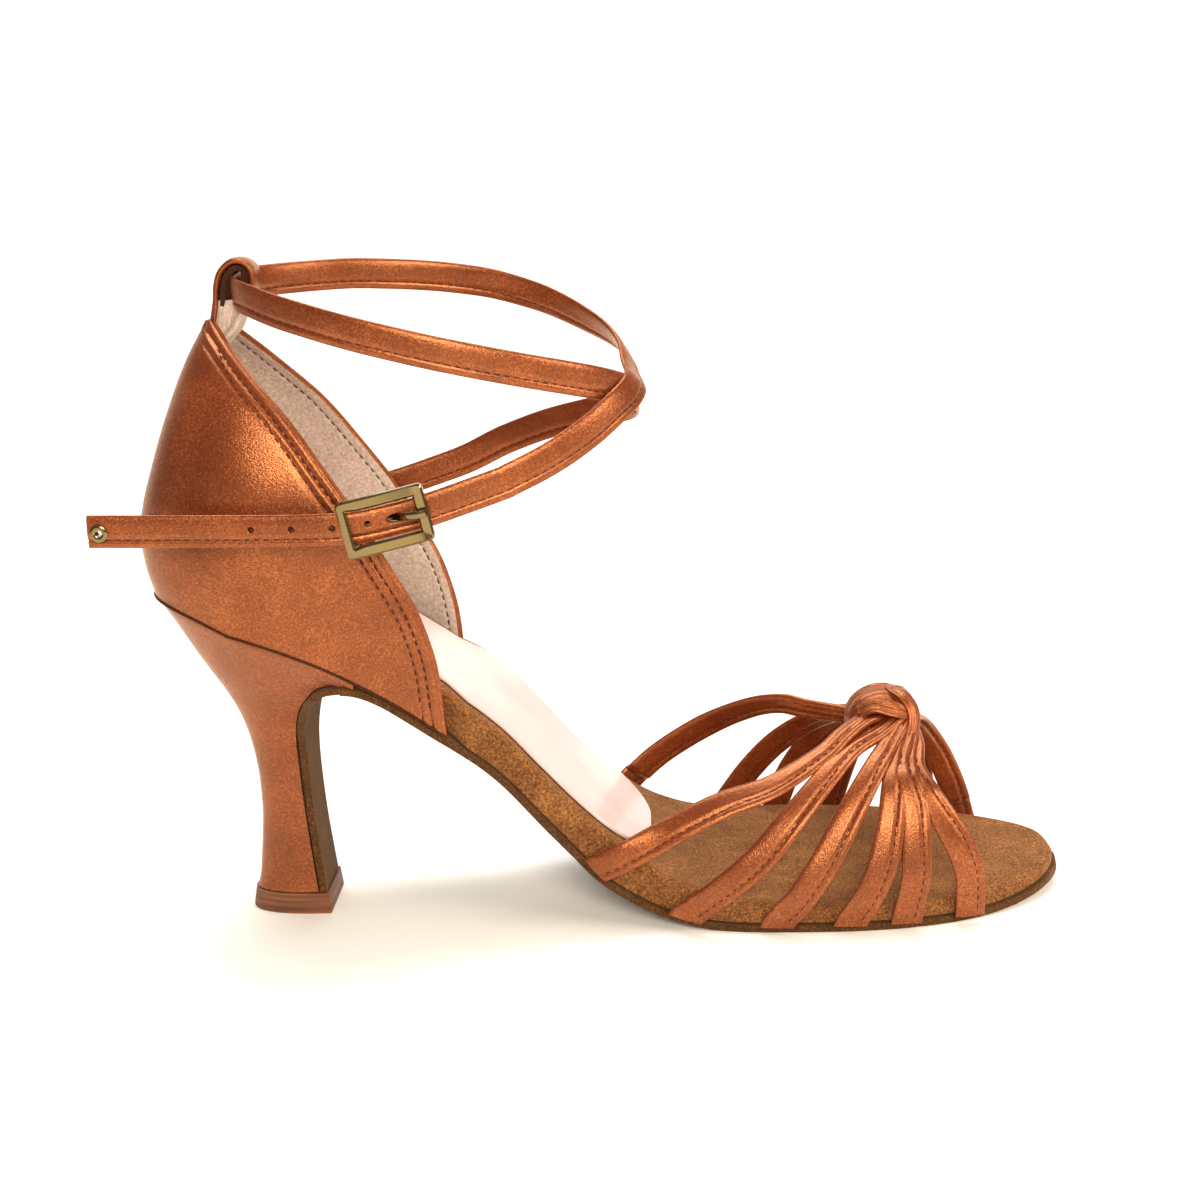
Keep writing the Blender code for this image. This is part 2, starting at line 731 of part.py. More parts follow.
def heel_ring(bx, bz, fx, fz, shape, turn):
    """One section of the block: round at the back, straight across the front."""
    half, power, fall, lift = shape
    ring = []
    for t in turn:
        a = abs(t) * math.pi / 2
        x = fx - (fx - bx) * math.cos(a) ** (2 / power)
        y = math.copysign(half * math.sin(a) ** (2 / power), t)
        s = min(max((x - bx) / (fx - bx), 0.0), 1.0)
        ring.append((x, y, bz + (fz - bz) * s**fall + lift * float(seam_lift(x))))
    return ring


def heel_tip(look, where):
    turn = np.linspace(-1, 1, 25)
    rings = []
    for z, x, front, half in HEEL_TIP:
        shape = (half * BALL, 2.3, 1.0, 0.0)
        rings.append(heel_ring(x * LENGTH, z * TIP_HIGH, front * LENGTH, z * TIP_HIGH, shape, turn))
    return loft("heel_tip", rings, look, where, strips=True)


def quarter_point(v, u):
    """A point of the outer face: v is 0 at the seam and 1 at the top, u is -1 and 1 at the front edges."""
    table = columns(QUARTER)
    grid = table["rise"]
    bx = through(grid, table["back"], v) * LENGTH
    fx = through(grid, table["front"], v) * LENGTH
    fz = through(grid, table["low"], v) * SEAT_RISE
    half = through(grid, table["half"], v) * BALL
    narrow = through(grid, table["narrow"], v)
    bend = through(grid, table["bend"], v) * LENGTH
    bz = SEAT_RISE + 0.4 + QUARTER_RISE * v
    d = (fx - bx) * (1 - np.cos(np.abs(u) * math.pi / 2))
    wide = half * round_end(1 - d / bend, 2.5) * (1 - narrow * np.clip((d - bend) / 36, 0, 1))
    s = d / (fx - bx)
    z = bz + (fz - bz) * s**SEAM_POWER + seam_lift(bx + d) * (1 - v) ** 3
    return np.stack([bx + d, np.sign(u) * wide, z], axis=-1)


def quarter(look, where):
    """The closed back: a loft from the seam to the top, made as thick as the wall."""
    rows = 13
    cols = 35
    v = np.linspace(0, 1, rows)[:, None] * np.ones((1, cols))
    u = np.ones((rows, 1)) * np.linspace(-1, 1, cols)[None, :]
    points = quarter_point(v, u)
    faces = []
    for i in range(rows - 1):
        for k in range(cols - 1):
            a = i * cols + k
            faces.append([a, a + 1, a + 1 + cols, a + cols])
    found = add("quarter", points.reshape(-1, 3), faces, look, where)
    mesh = found.data
    back = mesh.polygons[6 * (cols - 1) + (cols - 1) // 2]
    if back.normal.x > 0:
        mesh.flip_normals()
    wall = found.modifiers.new("wall", "SOLIDIFY")
    wall.thickness = WALL * MM
    wall.offset = -1
    wall.use_even_offset = False
    wall.use_quality_normals = True
    return found


def beside_board(line):
    """The strap line, with its low end moved out where it would run into the edge of the board."""
    table = columns(BOARD_TOP)
    side = 0 if line[0, 1] < 0 else 1
    top = through(table["x"], table["z"], line[:, 0] / LENGTH) * SEAT_RISE + 3.0
    for k in range(len(line)):
        if line[k, 2] < top[k]:
            near = max(board_sides(line[k, 0] + step)[side] for step in (-3.6, 0, 3.6))
            near += GAP + 0.3 + STRAP_THICK / 2
            line[k, 1] = math.copysign(max(abs(line[k, 1]), near), line[k, 1])
    return line


def vamp(look, where, cutters):
    """Twelve straps and the two folds of the knot, joined, with the strap ends cut along the sole."""
    table = columns(BOARD_TOP)
    scale = np.array([LENGTH, BALL, SEAT_RISE])
    pieces = []
    for points in OUTER_STRAPS + INNER_STRAPS:
        line = beside_board(path(np.array(points) * scale, 14))
        board = through(table["x"], table["z"], line[:, 0] / LENGTH) * SEAT_RISE
        rise = np.clip((line[:, 2] - board) / 14, 0, 1)
        outs = np.column_stack([0.13 * (line[:, 0] - 0.79 * LENGTH), line[:, 1], rise * (line[:, 2] - 6)])
        run = np.linspace(0, 1, len(line))
        wides = STRAP_WIDE - 2.6 * np.clip((run - 0.45) / 0.55, 0, 1)
        thicks = STRAP_THICK + 0.9 * np.clip((run - 0.6) / 0.4, 0, 1)
        pieces.append(("strap", sweep(line, outs, wides, thicks)))
    for points in KNOT_FOLDS:
        rows = np.array(points)
        line = path(np.column_stack([rows[:, :3] * scale, rows[:, 3:]]), 13)
        pieces.append(("fold", tube(line[:, :3], line[:, 3:])))
    body = loft("vamp", pieces[-1][1], look, where)
    tools = [loft(f"{kind}_{k}", rings, look, cutters) for k, (kind, rings) in enumerate(pieces[:-1])]
    join(body, tools[::-1], "UNION")
    below = outsole(look, cutters, "below_sole", -9.0, SOLE_THICK + GAP, 6.0)
    join(body, [below], "DIFFERENCE")
    return body


def band_line():
    """Middle of the ankle band: the two turns of the oval, then the free end."""
    table = columns(BAND)
    turn = np.arange(table["turn"][0], table["turn"][-1] + 0.1, 2.0)
    high = through(table["turn"], table["high"], turn) * SEAT_RISE
    out = through(table["turn"], table["out"], turn)
    lean = through(table["turn"], table["lean"], turn)
    a = np.radians(turn)
    x = RING_MIDDLE * LENGTH + (RING_LONG + out) * np.cos(a)
    y = -(RING_WIDE + out) * np.sin(a)
    ring = np.column_stack([x, y, high, lean])
    tongue = np.array(TONGUE) * np.array([LENGTH, BALL, SEAT_RISE])
    return np.vstack([ring, np.column_stack([tongue, np.zeros(len(tongue))])])


def ankle_strap(look, where, cutters):
    line = path(band_line(), 118)
    lean = np.radians(line[:, 3])
    line = line[:, :3]
    middle = np.array([RING_MIDDLE * LENGTH, 0, 0])
    outs = line - middle
    outs[:, 2] = 0
    outs[:, 1] *= (RING_LONG / RING_WIDE) ** 2
    tail = np.array([0, -1.0, 0])
    outs /= np.linalg.norm(outs, axis=1)[:, None]
    last = np.arange(len(line)) > 84
    mix = np.where(last, np.clip((0.327 - line[:, 0] / LENGTH) / 0.055, 0, 1), 0)[:, None]
    outs = outs * (1 - mix) + tail * mix
    outs = outs * np.cos(lean)[:, None] + np.sin(lean)[:, None] * np.array([0, 0, 1.0])
    wides = np.full(len(line), BAND_WIDE)
    body = loft("ankle_strap", sweep(line, outs, wides, np.full(len(line), BAND_THICK)), look, where)
    tilt = math.radians(BUCKLE_TILT)
    tools = []
    for name, x, z, long, wide in (
        ("prong_hole", *PRONG_HOLE_AT, 5.6, 2.3),
        ("eyelet_hole", EYELET_AT[0], EYELET_AT[2], 2.6, 2.6),
    ):
        turn = np.linspace(0, 2 * math.pi, 12, endpoint=False)
        ring = []
        for a in turn:
            along = long / 2 * math.cos(a)
            up = wide / 2 * math.sin(a)
            across = along * math.cos(tilt) - up * math.sin(tilt)
            rise = along * math.sin(tilt) + up * math.cos(tilt)
            ring.append((across, rise))
        rings = [[(x + p, -EYELET_AT[1] + y, z + q) for p, q in ring] for y in (-5.4, 1.9)]
        tools.append(loft(name, rings, look, cutters))
    join(body, tools, "DIFFERENCE")
    return body


def back_loop(look, where):
    table = columns(LOOP)
    rows = np.column_stack([table["x"] * LENGTH, 0 * table["x"], table["z"] * SEAT_RISE, table["bend"]])
    line = path(rows, 32)
    along = np.gradient(line[:, :3], axis=0)
    along /= np.linalg.norm(along, axis=1)[:, None]
    rings = []
    for p, t in zip(line, along):
        out = np.array([-t[2], 0, t[0]])
        ring = []
        for side in (-1, 1):
            for y in np.linspace(-LOOP_WIDE / 2, LOOP_WIDE / 2, 5)[::-side]:
                shift = np.array([p[3] * y * y, y, 0])
                ring.append(p[:3] + shift + out * side * LOOP_THICK / 2)
        rings.append(ring)
    return loft("back_loop", rings, look, where)


def buckle_point(along, up, out):
    """From the buckle's own directions to the shoe: along the band to the front, up, and away from the foot."""
    tilt = math.radians(BUCKLE_TILT)
    x = BUCKLE_AT[0] + along * math.cos(tilt) - up * math.sin(tilt)
    z = BUCKLE_AT[1] + along * math.sin(tilt) + up * math.cos(tilt)
    return (x, -out, z)


def frame_out(along):
    """How far the buckle frame stands from the middle of the shoe."""
    share = along / BUCKLE_LONG + 0.5
    return FRAME_REAR_OUT + (FRAME_FRONT_OUT - FRAME_REAR_OUT) * share + 0.5 * math.sin(math.pi * share)


def buckle_frame(look, where, cutters):
    """A rectangle of round bar over the band, and a hinge bar bowed in behind the band at its rear end."""
    half_long = BUCKLE_LONG / 2
    half_high = BUCKLE_HIGH / 2
    line = []
    for quarter_turn in range(4):
        cx = (half_long - BUCKLE_CORNER) * (1 if quarter_turn in (0, 3) else -1)
        cz = (half_high - BUCKLE_CORNER) * (1 if quarter_turn in (0, 1) else -1)
        for a in np.linspace(0, math.pi / 2, 4):
            b = a + quarter_turn * math.pi / 2
            nx, nz = math.cos(b), math.sin(b)
            line.append((cx + BUCKLE_CORNER * nx, cz + BUCKLE_CORNER * nz, nx, nz))
        if quarter_turn in (0, 2):
            line.append((0.0, half_high * (1 - quarter_turn), 0.0, 1.0 - quarter_turn))
    rings = []
    for along, up, nx, nz in line:
        ring = []
        for a in np.linspace(0, 2 * math.pi, 8, endpoint=False):
            r = BUCKLE_BAR * math.cos(a)
            out = frame_out(along) + BUCKLE_BAR * math.sin(a)
            ring.append(buckle_point(along + r * nx, up + r * nz, out))
        rings.append(ring)
    body = closed_sweep("buckle_frame", rings, look, where)
    wide = half_high - 0.4
    inside = FRAME_REAR_OUT - 0.1
    bar = [(-wide, inside, 0.0, -1.0, HINGE_POST)]
    for a in np.linspace(0, math.pi / 2, 3):
        bar.append((-wide + HINGE_BEND * (1 - math.cos(a)), HINGE_OUT + HINGE_BEND * (1 - math.sin(a)),
                    math.sin(a), -math.cos(a), HINGE_POST + (HINGE_BAR - HINGE_POST) * math.sin(a)))
    bar += [(-up, out, along, -across, r) for up, out, along, across, r in bar[::-1]]
    rings = []
    for up, out, tx, ty, r in bar:
        ring = []
        for a in np.linspace(0, 2 * math.pi, 8, endpoint=False):
            n = r * math.sin(a)
            ring.append(buckle_point(-half_long + r * math.cos(a), up - ty * n, out + tx * n))
        rings.append(ring)
    join(body, [loft("hinge_bar", rings, look, cutters)], "UNION")
    return body


def buckle_prong(look, where):
    """A bar hooked round the hinge bar, out through the band and over the front bar."""
    rear = -BUCKLE_LONG / 2
    around = HINGE_BAR + 0.25 + 0.6
    line = []
    for a in np.radians(np.linspace(-265, -5, 14)):
        line.append((rear + around * math.sin(a), HINGE_OUT - around * math.cos(a)))
    for p, out in PRONG:
        line.append((p, HINGE_OUT + out))
    plan = path(np.array(line), 34)
    along = np.gradient(plan, axis=0)
    along /= np.linalg.norm(along, axis=1)[:, None]
    rings = []
    for (p, out), (tx, ty) in zip(plan, along):
        ring = []
        for a in np.linspace(0, 2 * math.pi, 8, endpoint=False):
            n = 0.6 * math.cos(a)
            ring.append(buckle_point(p - ty * n, 0.75 * math.sin(a), out + tx * n))
        rings.append(ring)
    return loft("buckle_prong", rings, look, where)


def buckle_tab(look, where, cutters):
    """A strip sewn to the quarter, round the hinge bar and back, with a slot for the prong."""
    rear = -BUCKLE_LONG / 2
    around = HINGE_BAR + 0.25 + TAB_THICK / 2
    low = HINGE_OUT - around
    plan = [(rear - 7.4, low), (rear - 5.8, low), (rear - 4.0, low)]
    for a in np.radians(np.linspace(0, 180, 9)):
        plan.append((rear + around * math.sin(a), HINGE_OUT - around * math.cos(a)))
    plan += [(rear - 2.6, HINGE_OUT + around - 0.5), (rear - 5.0, low + TAB_THICK + 0.5)]
    plan += [(rear - 6.4, low + TAB_THICK + 0.15), (rear - 7.4, low + TAB_THICK + 0.15)]
    plan = path(np.array(plan), 40)
    along = np.gradient(plan, axis=0)
    along /= np.linalg.norm(along, axis=1)[:, None]
    rings = []
    for (p, out), (tx, ty) in zip(plan, along):
        ring = []
        for n, up in ((-0.5, -0.5), (0.5, -0.5), (0.5, 0.5), (-0.5, 0.5)):
            ring.append(buckle_point(p - ty * n * TAB_THICK, up * TAB_WIDE, out + tx * n * TAB_THICK))
        rings.append(ring)
    body = loft("buckle_tab", rings, look, where)
    slot = []
    for up in (-1.25, 1.25):
        slot.append([])
        for p, out in ((rear - 3.2, 24.0), (rear + 6.0, 24.0), (rear + 6.0, 36.0), (rear - 3.2, 36.0)):
            slot[-1].append(buckle_point(p, up, out))
    join(body, [loft("prong_slot", slot, look, cutters)], "DIFFERENCE")
    return body


def strap_eyelet(look, where):
    """A barrel through the end of the band and a flat collar on its outer face, turned on one axis."""
    profile = ((0.75, -0.9), (1.15, -0.9), (1.15, 1.0), (2.0, 1.05), (2.0, 1.45), (1.2, 1.6), (0.75, 1.4))
    x, y, z = EYELET_AT
    rings = []
    for a in np.linspace(0, 2 * math.pi, 16, endpoint=False):
        rings.append([(x + r * math.cos(a), -y - h, z + r * math.sin(a)) for r, h in profile])
    return closed_sweep("strap_eyelet", rings, look, where)


def main():
    for thing in list(bpy.data.objects):
        bpy.data.objects.remove(thing)
    where = bpy.data.collections.new("ballroom_sandal")
    cutters = bpy.data.collections.new("cutters")
    for group in (where, cutters):
        bpy.context.scene.collection.children.link(group)
    cutters.hide_render = True
    looks = {}
    for name, colour, metallic, roughness in (
        ("outsole", SUEDE, 0, 0.9),
        ("insole", SUEDE, 0, 0.9),
        ("sock", (0.93, 0.82, 0.79), 0, 0.6),
        ("heel", SATIN, 0, 0.4),
        ("heel_tip", (0.25, 0.1, 0.04), 0, 0.5),
        ("quarter", SATIN, 0, 0.4),
        ("vamp", SATIN, 0, 0.4),
        ("ankle_strap", SATIN, 0, 0.4),
        ("back_loop", SATIN, 0, 0.4),
        ("buckle_tab", SATIN, 0, 0.4),
        ("buckle_frame", (0.7, 0.6, 0.3), 1, 0.25),
        ("buckle_prong", (0.7, 0.6, 0.3), 1, 0.25),
        ("strap_eyelet", (0.7, 0.6, 0.3), 1, 0.25),
    ):
        looks[name] = material(name, colour, metallic, roughness)
    outsole(looks["outsole"], where)
    insole(looks["insole"], where)
    sock(looks["sock"], where)
    heel(looks["heel"], where)
    heel_tip(looks["heel_tip"], where)
    quarter(looks["quarter"], where)
    vamp(looks["vamp"], where, cutters)
    ankle_strap(looks["ankle_strap"], where, cutters)
    back_loop(looks["back_loop"], where)
    buckle_frame(looks["buckle_frame"], where, cutters)
    buckle_prong(looks["buckle_prong"], where)
    buckle_tab(looks["buckle_tab"], where, cutters)
    strap_eyelet(looks["strap_eyelet"], where)
    for tool in cutters.objects:
        tool.display_type = "WIRE"


main()
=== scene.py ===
# Looks of a right ballroom sandal: copper satin over a closed back, knotted toe straps, an ankle band
# wound twice round the ankle and a flared heel, with suede sole and board, a pale sock and a pale gold
# buckle. Shapes are worked out in millimetres from the back of the seat: x to the toe, y to the inner
# side, z up.

import math

import bpy
import numpy as np
from mathutils import Matrix, Vector


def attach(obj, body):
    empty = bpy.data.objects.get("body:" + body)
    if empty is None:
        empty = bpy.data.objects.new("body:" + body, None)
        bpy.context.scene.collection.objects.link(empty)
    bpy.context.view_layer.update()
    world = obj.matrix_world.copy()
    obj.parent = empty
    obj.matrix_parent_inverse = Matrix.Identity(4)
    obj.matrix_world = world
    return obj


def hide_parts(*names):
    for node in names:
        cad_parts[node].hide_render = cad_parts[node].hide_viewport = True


MM = 0.001

# Driving sizes, in millimetres.
LENGTH = 220.0
BALL = 76.0
SEAT_RISE = 80.0
QUARTER_RISE = 66.6
SET_BACK = 0.1227 * LENGTH  # from the back of the seat to the middle of the heel tip
SOLE_THICK = 1.8
GAP = 0.3  # air between pieces that touch
WALL = 2.0
STRAP_WIDE = 7.0
STRAP_THICK = 1.5
BAND_WIDE = 7.4
BAND_THICK = 1.6
TIP_HIGH = 0.0675 * SEAT_RISE
INSET = 3.4  # bare edge of the board beside the sock
SOLE_TRIM = 1.2  # how far the edge of the sole is trimmed back at the toe
ARCH_BANK = 2.0  # how far the inner edge of the board rises in the arch
FAR_INSET = 1.2  # how much more of the board is bare there
SOCK_THICK = 1.2
SEAT_ENDS = 0.159  # share of LENGTH over which the sole's seat is round
TOE_BEGINS = 0.75  # share of LENGTH from which the toe is trimmed
STRAPS_BEGIN = 0.418  # share of LENGTH from which the board is set in for the straps
STRAPS_BLEND = 0.036
SIZES = np.array([LENGTH, BALL, SEAT_RISE])

# Lower edge of the closed back.
SEAM_START = 0.0118 * LENGTH
SEAM_END = 0.325 * LENGTH
SEAM_DROP = 0.3675 * SEAT_RISE
SEAM_POWER = 1.9
SEAM_LIFT = 4.2
SEAM_LIFT_LONG = 0.109 * LENGTH

# Sewing.
STITCH_PITCH = 2.2
STITCH_LONG = 1.65
THREAD = 0.17  # half thickness of the thread
STRAP_SEAM = 1.9  # from the edge of a strap to its row of stitches
SEAM_SHADOW_BEAD = 0.32  # radius of the dark bead along the seam over the heel, painted shade of the seam's shadow line
STITCH_GROOVE = 0.36  # half width of the groove that a row of stitches pulls in
QUARTER_SEAMS = (2.5, 4.6)  # the two rows along the front edge of the closed back
LINING_SEAM = 2.6
FACING = 0.35  # how far the satin is turned over the front edge on to the lining

# Half widths of the sole outline: x share of LENGTH, outer side and inner side as shares of BALL.
OUTLINE = (
    ("x", "outer", "inner"),
    (0.159, 0.342, 0.342), (0.255, 0.328, 0.325), (0.318, 0.317, 0.311), (0.386, 0.308, 0.304),
    (0.432, 0.308, 0.318), (0.477, 0.314, 0.345), (0.523, 0.320, 0.381), (0.568, 0.338, 0.432),
    (0.614, 0.360, 0.475), (0.659, 0.378, 0.502), (0.705, 0.388, 0.510), (0.750, 0.392, 0.510),
    (1.000, 0.392, 0.510),
)
TOE_OUTER = 0.745
TOE_INNER = 0.685
TOE_CLOSES = 2.4  # how much sooner than the sole the board closes at the toe

# Underside of the sole, from the heel tip up the breast and on to the toe, as shares of LENGTH and
# SEAT_RISE.
UNDERSIDE = (
    ("x", "z"),
    (0.1675, 0.073), (0.1655, 0.150), (0.1630, 0.250), (0.1610, 0.375), (0.1605, 0.475), (0.1615, 0.563),
    (0.1650, 0.628), (0.1725, 0.684), (0.1830, 0.722), (0.1980, 0.758), (0.2160, 0.773), (0.2360, 0.766),
    (0.2600, 0.734), (0.2860, 0.683), (0.3110, 0.631), (0.3364, 0.580), (0.3614, 0.525), (0.3841, 0.463),
    (0.4068, 0.388), (0.4295, 0.310), (0.4523, 0.235), (0.4750, 0.163), (0.4977, 0.113), (0.5227, 0.070),
    (0.5500, 0.035), (0.5820, 0.011), (0.6180, 0.000), (0.6800, 0.000), (0.7700, 0.000), (0.8600, 0.000),
    (0.9100, 0.006), (0.9500, 0.019), (0.9800, 0.034), (1.0000, 0.046),
)
# Half width of the sole piece on the heel breast: z share of SEAT_RISE, half width share of BALL.
FLAP = (
    ("z", "half"),
    (0.073, 0.106), (0.250, 0.099), (0.475, 0.103), (0.563, 0.120), (0.628, 0.150), (0.684, 0.195),
    (0.722, 0.240), (0.758, 0.285), (0.773, 0.318),
)
# Top of the insole board: shares of LENGTH and SEAT_RISE.
BOARD_TOP = (
    ("x", "z"),
    (0.000, 1.072), (0.050, 1.064), (0.091, 1.047), (0.136, 1.020), (0.182, 0.982), (0.227, 0.930),
    (0.257, 0.891), (0.293, 0.829), (0.332, 0.753), (0.352, 0.709), (0.384, 0.628), (0.419, 0.515),
    (0.456, 0.394), (0.491, 0.300), (0.520, 0.229), (0.550, 0.172), (0.586, 0.125), (0.627, 0.095),
    (0.682, 0.080), (0.773, 0.074), (0.864, 0.076), (0.932, 0.084), (1.000, 0.106),
)
# Heel sections from the tip to the seat: back point, place of the front point along the breast, half
# width, roundness of the back, how late the section falls away to the front, share of the seam's lift.
HEEL = (
    ("x", "z", "front", "half", "round", "fall", "lift"),
    (0.0823, 0.0725, 0.000, 0.106, 2.3, 1.0, 0.0), (0.0864, 0.1125, 0.045, 0.103, 2.3, 1.0, 0.0),
    (0.0900, 0.1750, 0.120, 0.102, 2.3, 1.0, 0.0), (0.0936, 0.2500, 0.200, 0.102, 2.3, 1.0, 0.0),
    (0.0968, 0.3375, 0.300, 0.103, 2.3, 1.0, 0.0), (0.0972, 0.4250, 0.400, 0.106, 2.3, 1.0, 0.0),
    (0.0955, 0.5000, 0.480, 0.113, 2.3, 1.0, 0.0), (0.0915, 0.5750, 0.560, 0.126, 2.3, 1.0, 0.0),
    (0.0845, 0.6500, 0.640, 0.149, 2.3, 1.0, 0.0), (0.0735, 0.7250, 0.720, 0.182, 2.4, 1.1, 0.0),
    (0.0580, 0.8000, 0.790, 0.224, 2.4, 1.2, 0.1), (0.0415, 0.8750, 0.860, 0.268, 2.4, 1.4, 0.3),
    (0.0265, 0.9450, 0.930, 0.310, 2.5, 1.7, 0.6), (0.0165, 0.9800, 1.000, 0.338, 2.5, 1.9, 0.85),
)
# Heel tip: share of its height, back and front as shares of LENGTH, half width as a share of BALL.
HEEL_TIP = (
    ("z", "back", "front", "half"),
    (0.0, 0.0768, 0.1705, 0.1092), (0.1, 0.0755, 0.1714, 0.1118), (0.6, 0.0778, 0.1704, 0.1112),
    (1.0, 0.0800, 0.1695, 0.1105),
)
# Rows of the closed back: height of the back point as a share of QUARTER_RISE and its x, the front
# edge, half width, narrowing to the front, length of the round at the back.
QUARTER = (
    ("rise", "back", "front", "low", "half", "narrow", "bend"),
    (0.000, 0.0118, 0.3250, 0.638, 0.345, 0.070, 0.159),
    (0.125, 0.0050, 0.3218, 0.825, 0.352, 0.060, 0.159),
    (0.250, 0.0030, 0.3080, 1.000, 0.358, 0.040, 0.159),
    (0.375, 0.0110, 0.2827, 1.150, 0.358, 0.020, 0.155),
    (0.500, 0.0235, 0.2568, 1.288, 0.350, 0.000, 0.150),
    (0.625, 0.0375, 0.2240, 1.431, 0.326, 0.000, 0.141),
    (0.750, 0.0535, 0.1886, 1.575, 0.284, 0.000, 0.118),
    (0.875, 0.0720, 0.1455, 1.712, 0.208, 0.000, 0.072),
    (1.000, 0.0955, 0.1080, 1.836, 0.085, 0.000, 0.013),
)
# Toe straps from the sole edge to the knot: shares of LENGTH, BALL and SEAT_RISE.
OUTER_STRAPS = (
    (
        (0.452, -0.310, 0.150), (0.472, -0.320, 0.195), (0.504, -0.329, 0.235), (0.563, -0.322, 0.321),
        (0.615, -0.309, 0.386), (0.669, -0.289, 0.430), (0.726, -0.208, 0.495), (0.750, -0.158, 0.535),
        (0.774, -0.105, 0.560), (0.793, -0.072, 0.563),
    ),
    (
        (0.552, -0.322, 0.000), (0.571, -0.342, 0.050), (0.605, -0.374, 0.130), (0.649, -0.381, 0.235),
        (0.688, -0.347, 0.349), (0.725, -0.279, 0.444), (0.757, -0.196, 0.501), (0.790, -0.138, 0.531),
        (0.809, -0.103, 0.556), (0.816, -0.079, 0.558),
    ),
    (
        (0.662, -0.372, 0.000), (0.673, -0.384, 0.052), (0.691, -0.404, 0.114), (0.716, -0.397, 0.215),
        (0.744, -0.356, 0.339), (0.765, -0.303, 0.420), (0.783, -0.242, 0.474), (0.798, -0.178, 0.506),
        (0.812, -0.125, 0.540), (0.817, -0.086, 0.553),
    ),
    (
        (0.740, -0.386, 0.000), (0.749, -0.394, 0.048), (0.764, -0.411, 0.122), (0.780, -0.397, 0.225),
        (0.791, -0.354, 0.342), (0.797, -0.297, 0.423), (0.807, -0.205, 0.480), (0.816, -0.151, 0.511),
        (0.823, -0.099, 0.525),
    ),
    (
        (0.803, -0.378, 0.000), (0.806, -0.386, 0.048), (0.814, -0.400, 0.164), (0.816, -0.377, 0.274),
        (0.817, -0.336, 0.367), (0.812, -0.276, 0.440), (0.815, -0.190, 0.475), (0.822, -0.138, 0.505),
        (0.825, -0.086, 0.519),
    ),
    (
        (0.874, -0.330, 0.000), (0.874, -0.340, 0.045), (0.874, -0.356, 0.148), (0.864, -0.355, 0.240),
        (0.847, -0.337, 0.330), (0.832, -0.305, 0.400), (0.822, -0.230, 0.452), (0.827, -0.151, 0.490),
        (0.828, -0.086, 0.510),
    ),
)
INNER_STRAPS = (
    (
        (0.484, 0.349, 0.105), (0.500, 0.362, 0.180), (0.520, 0.378, 0.240), (0.555, 0.388, 0.319),
        (0.609, 0.353, 0.418), (0.658, 0.276, 0.494), (0.693, 0.210, 0.525), (0.725, 0.158, 0.520),
        (0.800, 0.020, 0.520),
    ),
    (
        (0.612, 0.470, 0.000), (0.624, 0.483, 0.060), (0.640, 0.500, 0.125), (0.665, 0.500, 0.214),
        (0.694, 0.472, 0.304), (0.728, 0.420, 0.385), (0.759, 0.316, 0.450), (0.782, 0.184, 0.500),
        (0.800, 0.066, 0.519),
    ),
    (
        (0.686, 0.507, 0.000), (0.691, 0.509, 0.050), (0.706, 0.512, 0.160), (0.725, 0.492, 0.255),
        (0.747, 0.451, 0.336), (0.775, 0.335, 0.438), (0.795, 0.184, 0.494), (0.809, 0.066, 0.512),
    ),
    (
        (0.757, 0.503, 0.000), (0.759, 0.507, 0.050), (0.770, 0.512, 0.150), (0.784, 0.480, 0.275),
        (0.798, 0.388, 0.388), (0.809, 0.250, 0.469), (0.816, 0.105, 0.500),
    ),
    (
        (0.866, 0.418, 0.000), (0.867, 0.424, 0.045), (0.868, 0.430, 0.150), (0.861, 0.401, 0.275),
        (0.850, 0.322, 0.388), (0.836, 0.197, 0.463), (0.827, 0.079, 0.494),
    ),
    (
        (0.916, 0.340, 0.000), (0.914, 0.350, 0.045), (0.903, 0.368, 0.160), (0.886, 0.358, 0.275),
        (0.864, 0.296, 0.388), (0.846, 0.178, 0.463), (0.834, 0.066, 0.494),
    ),
)
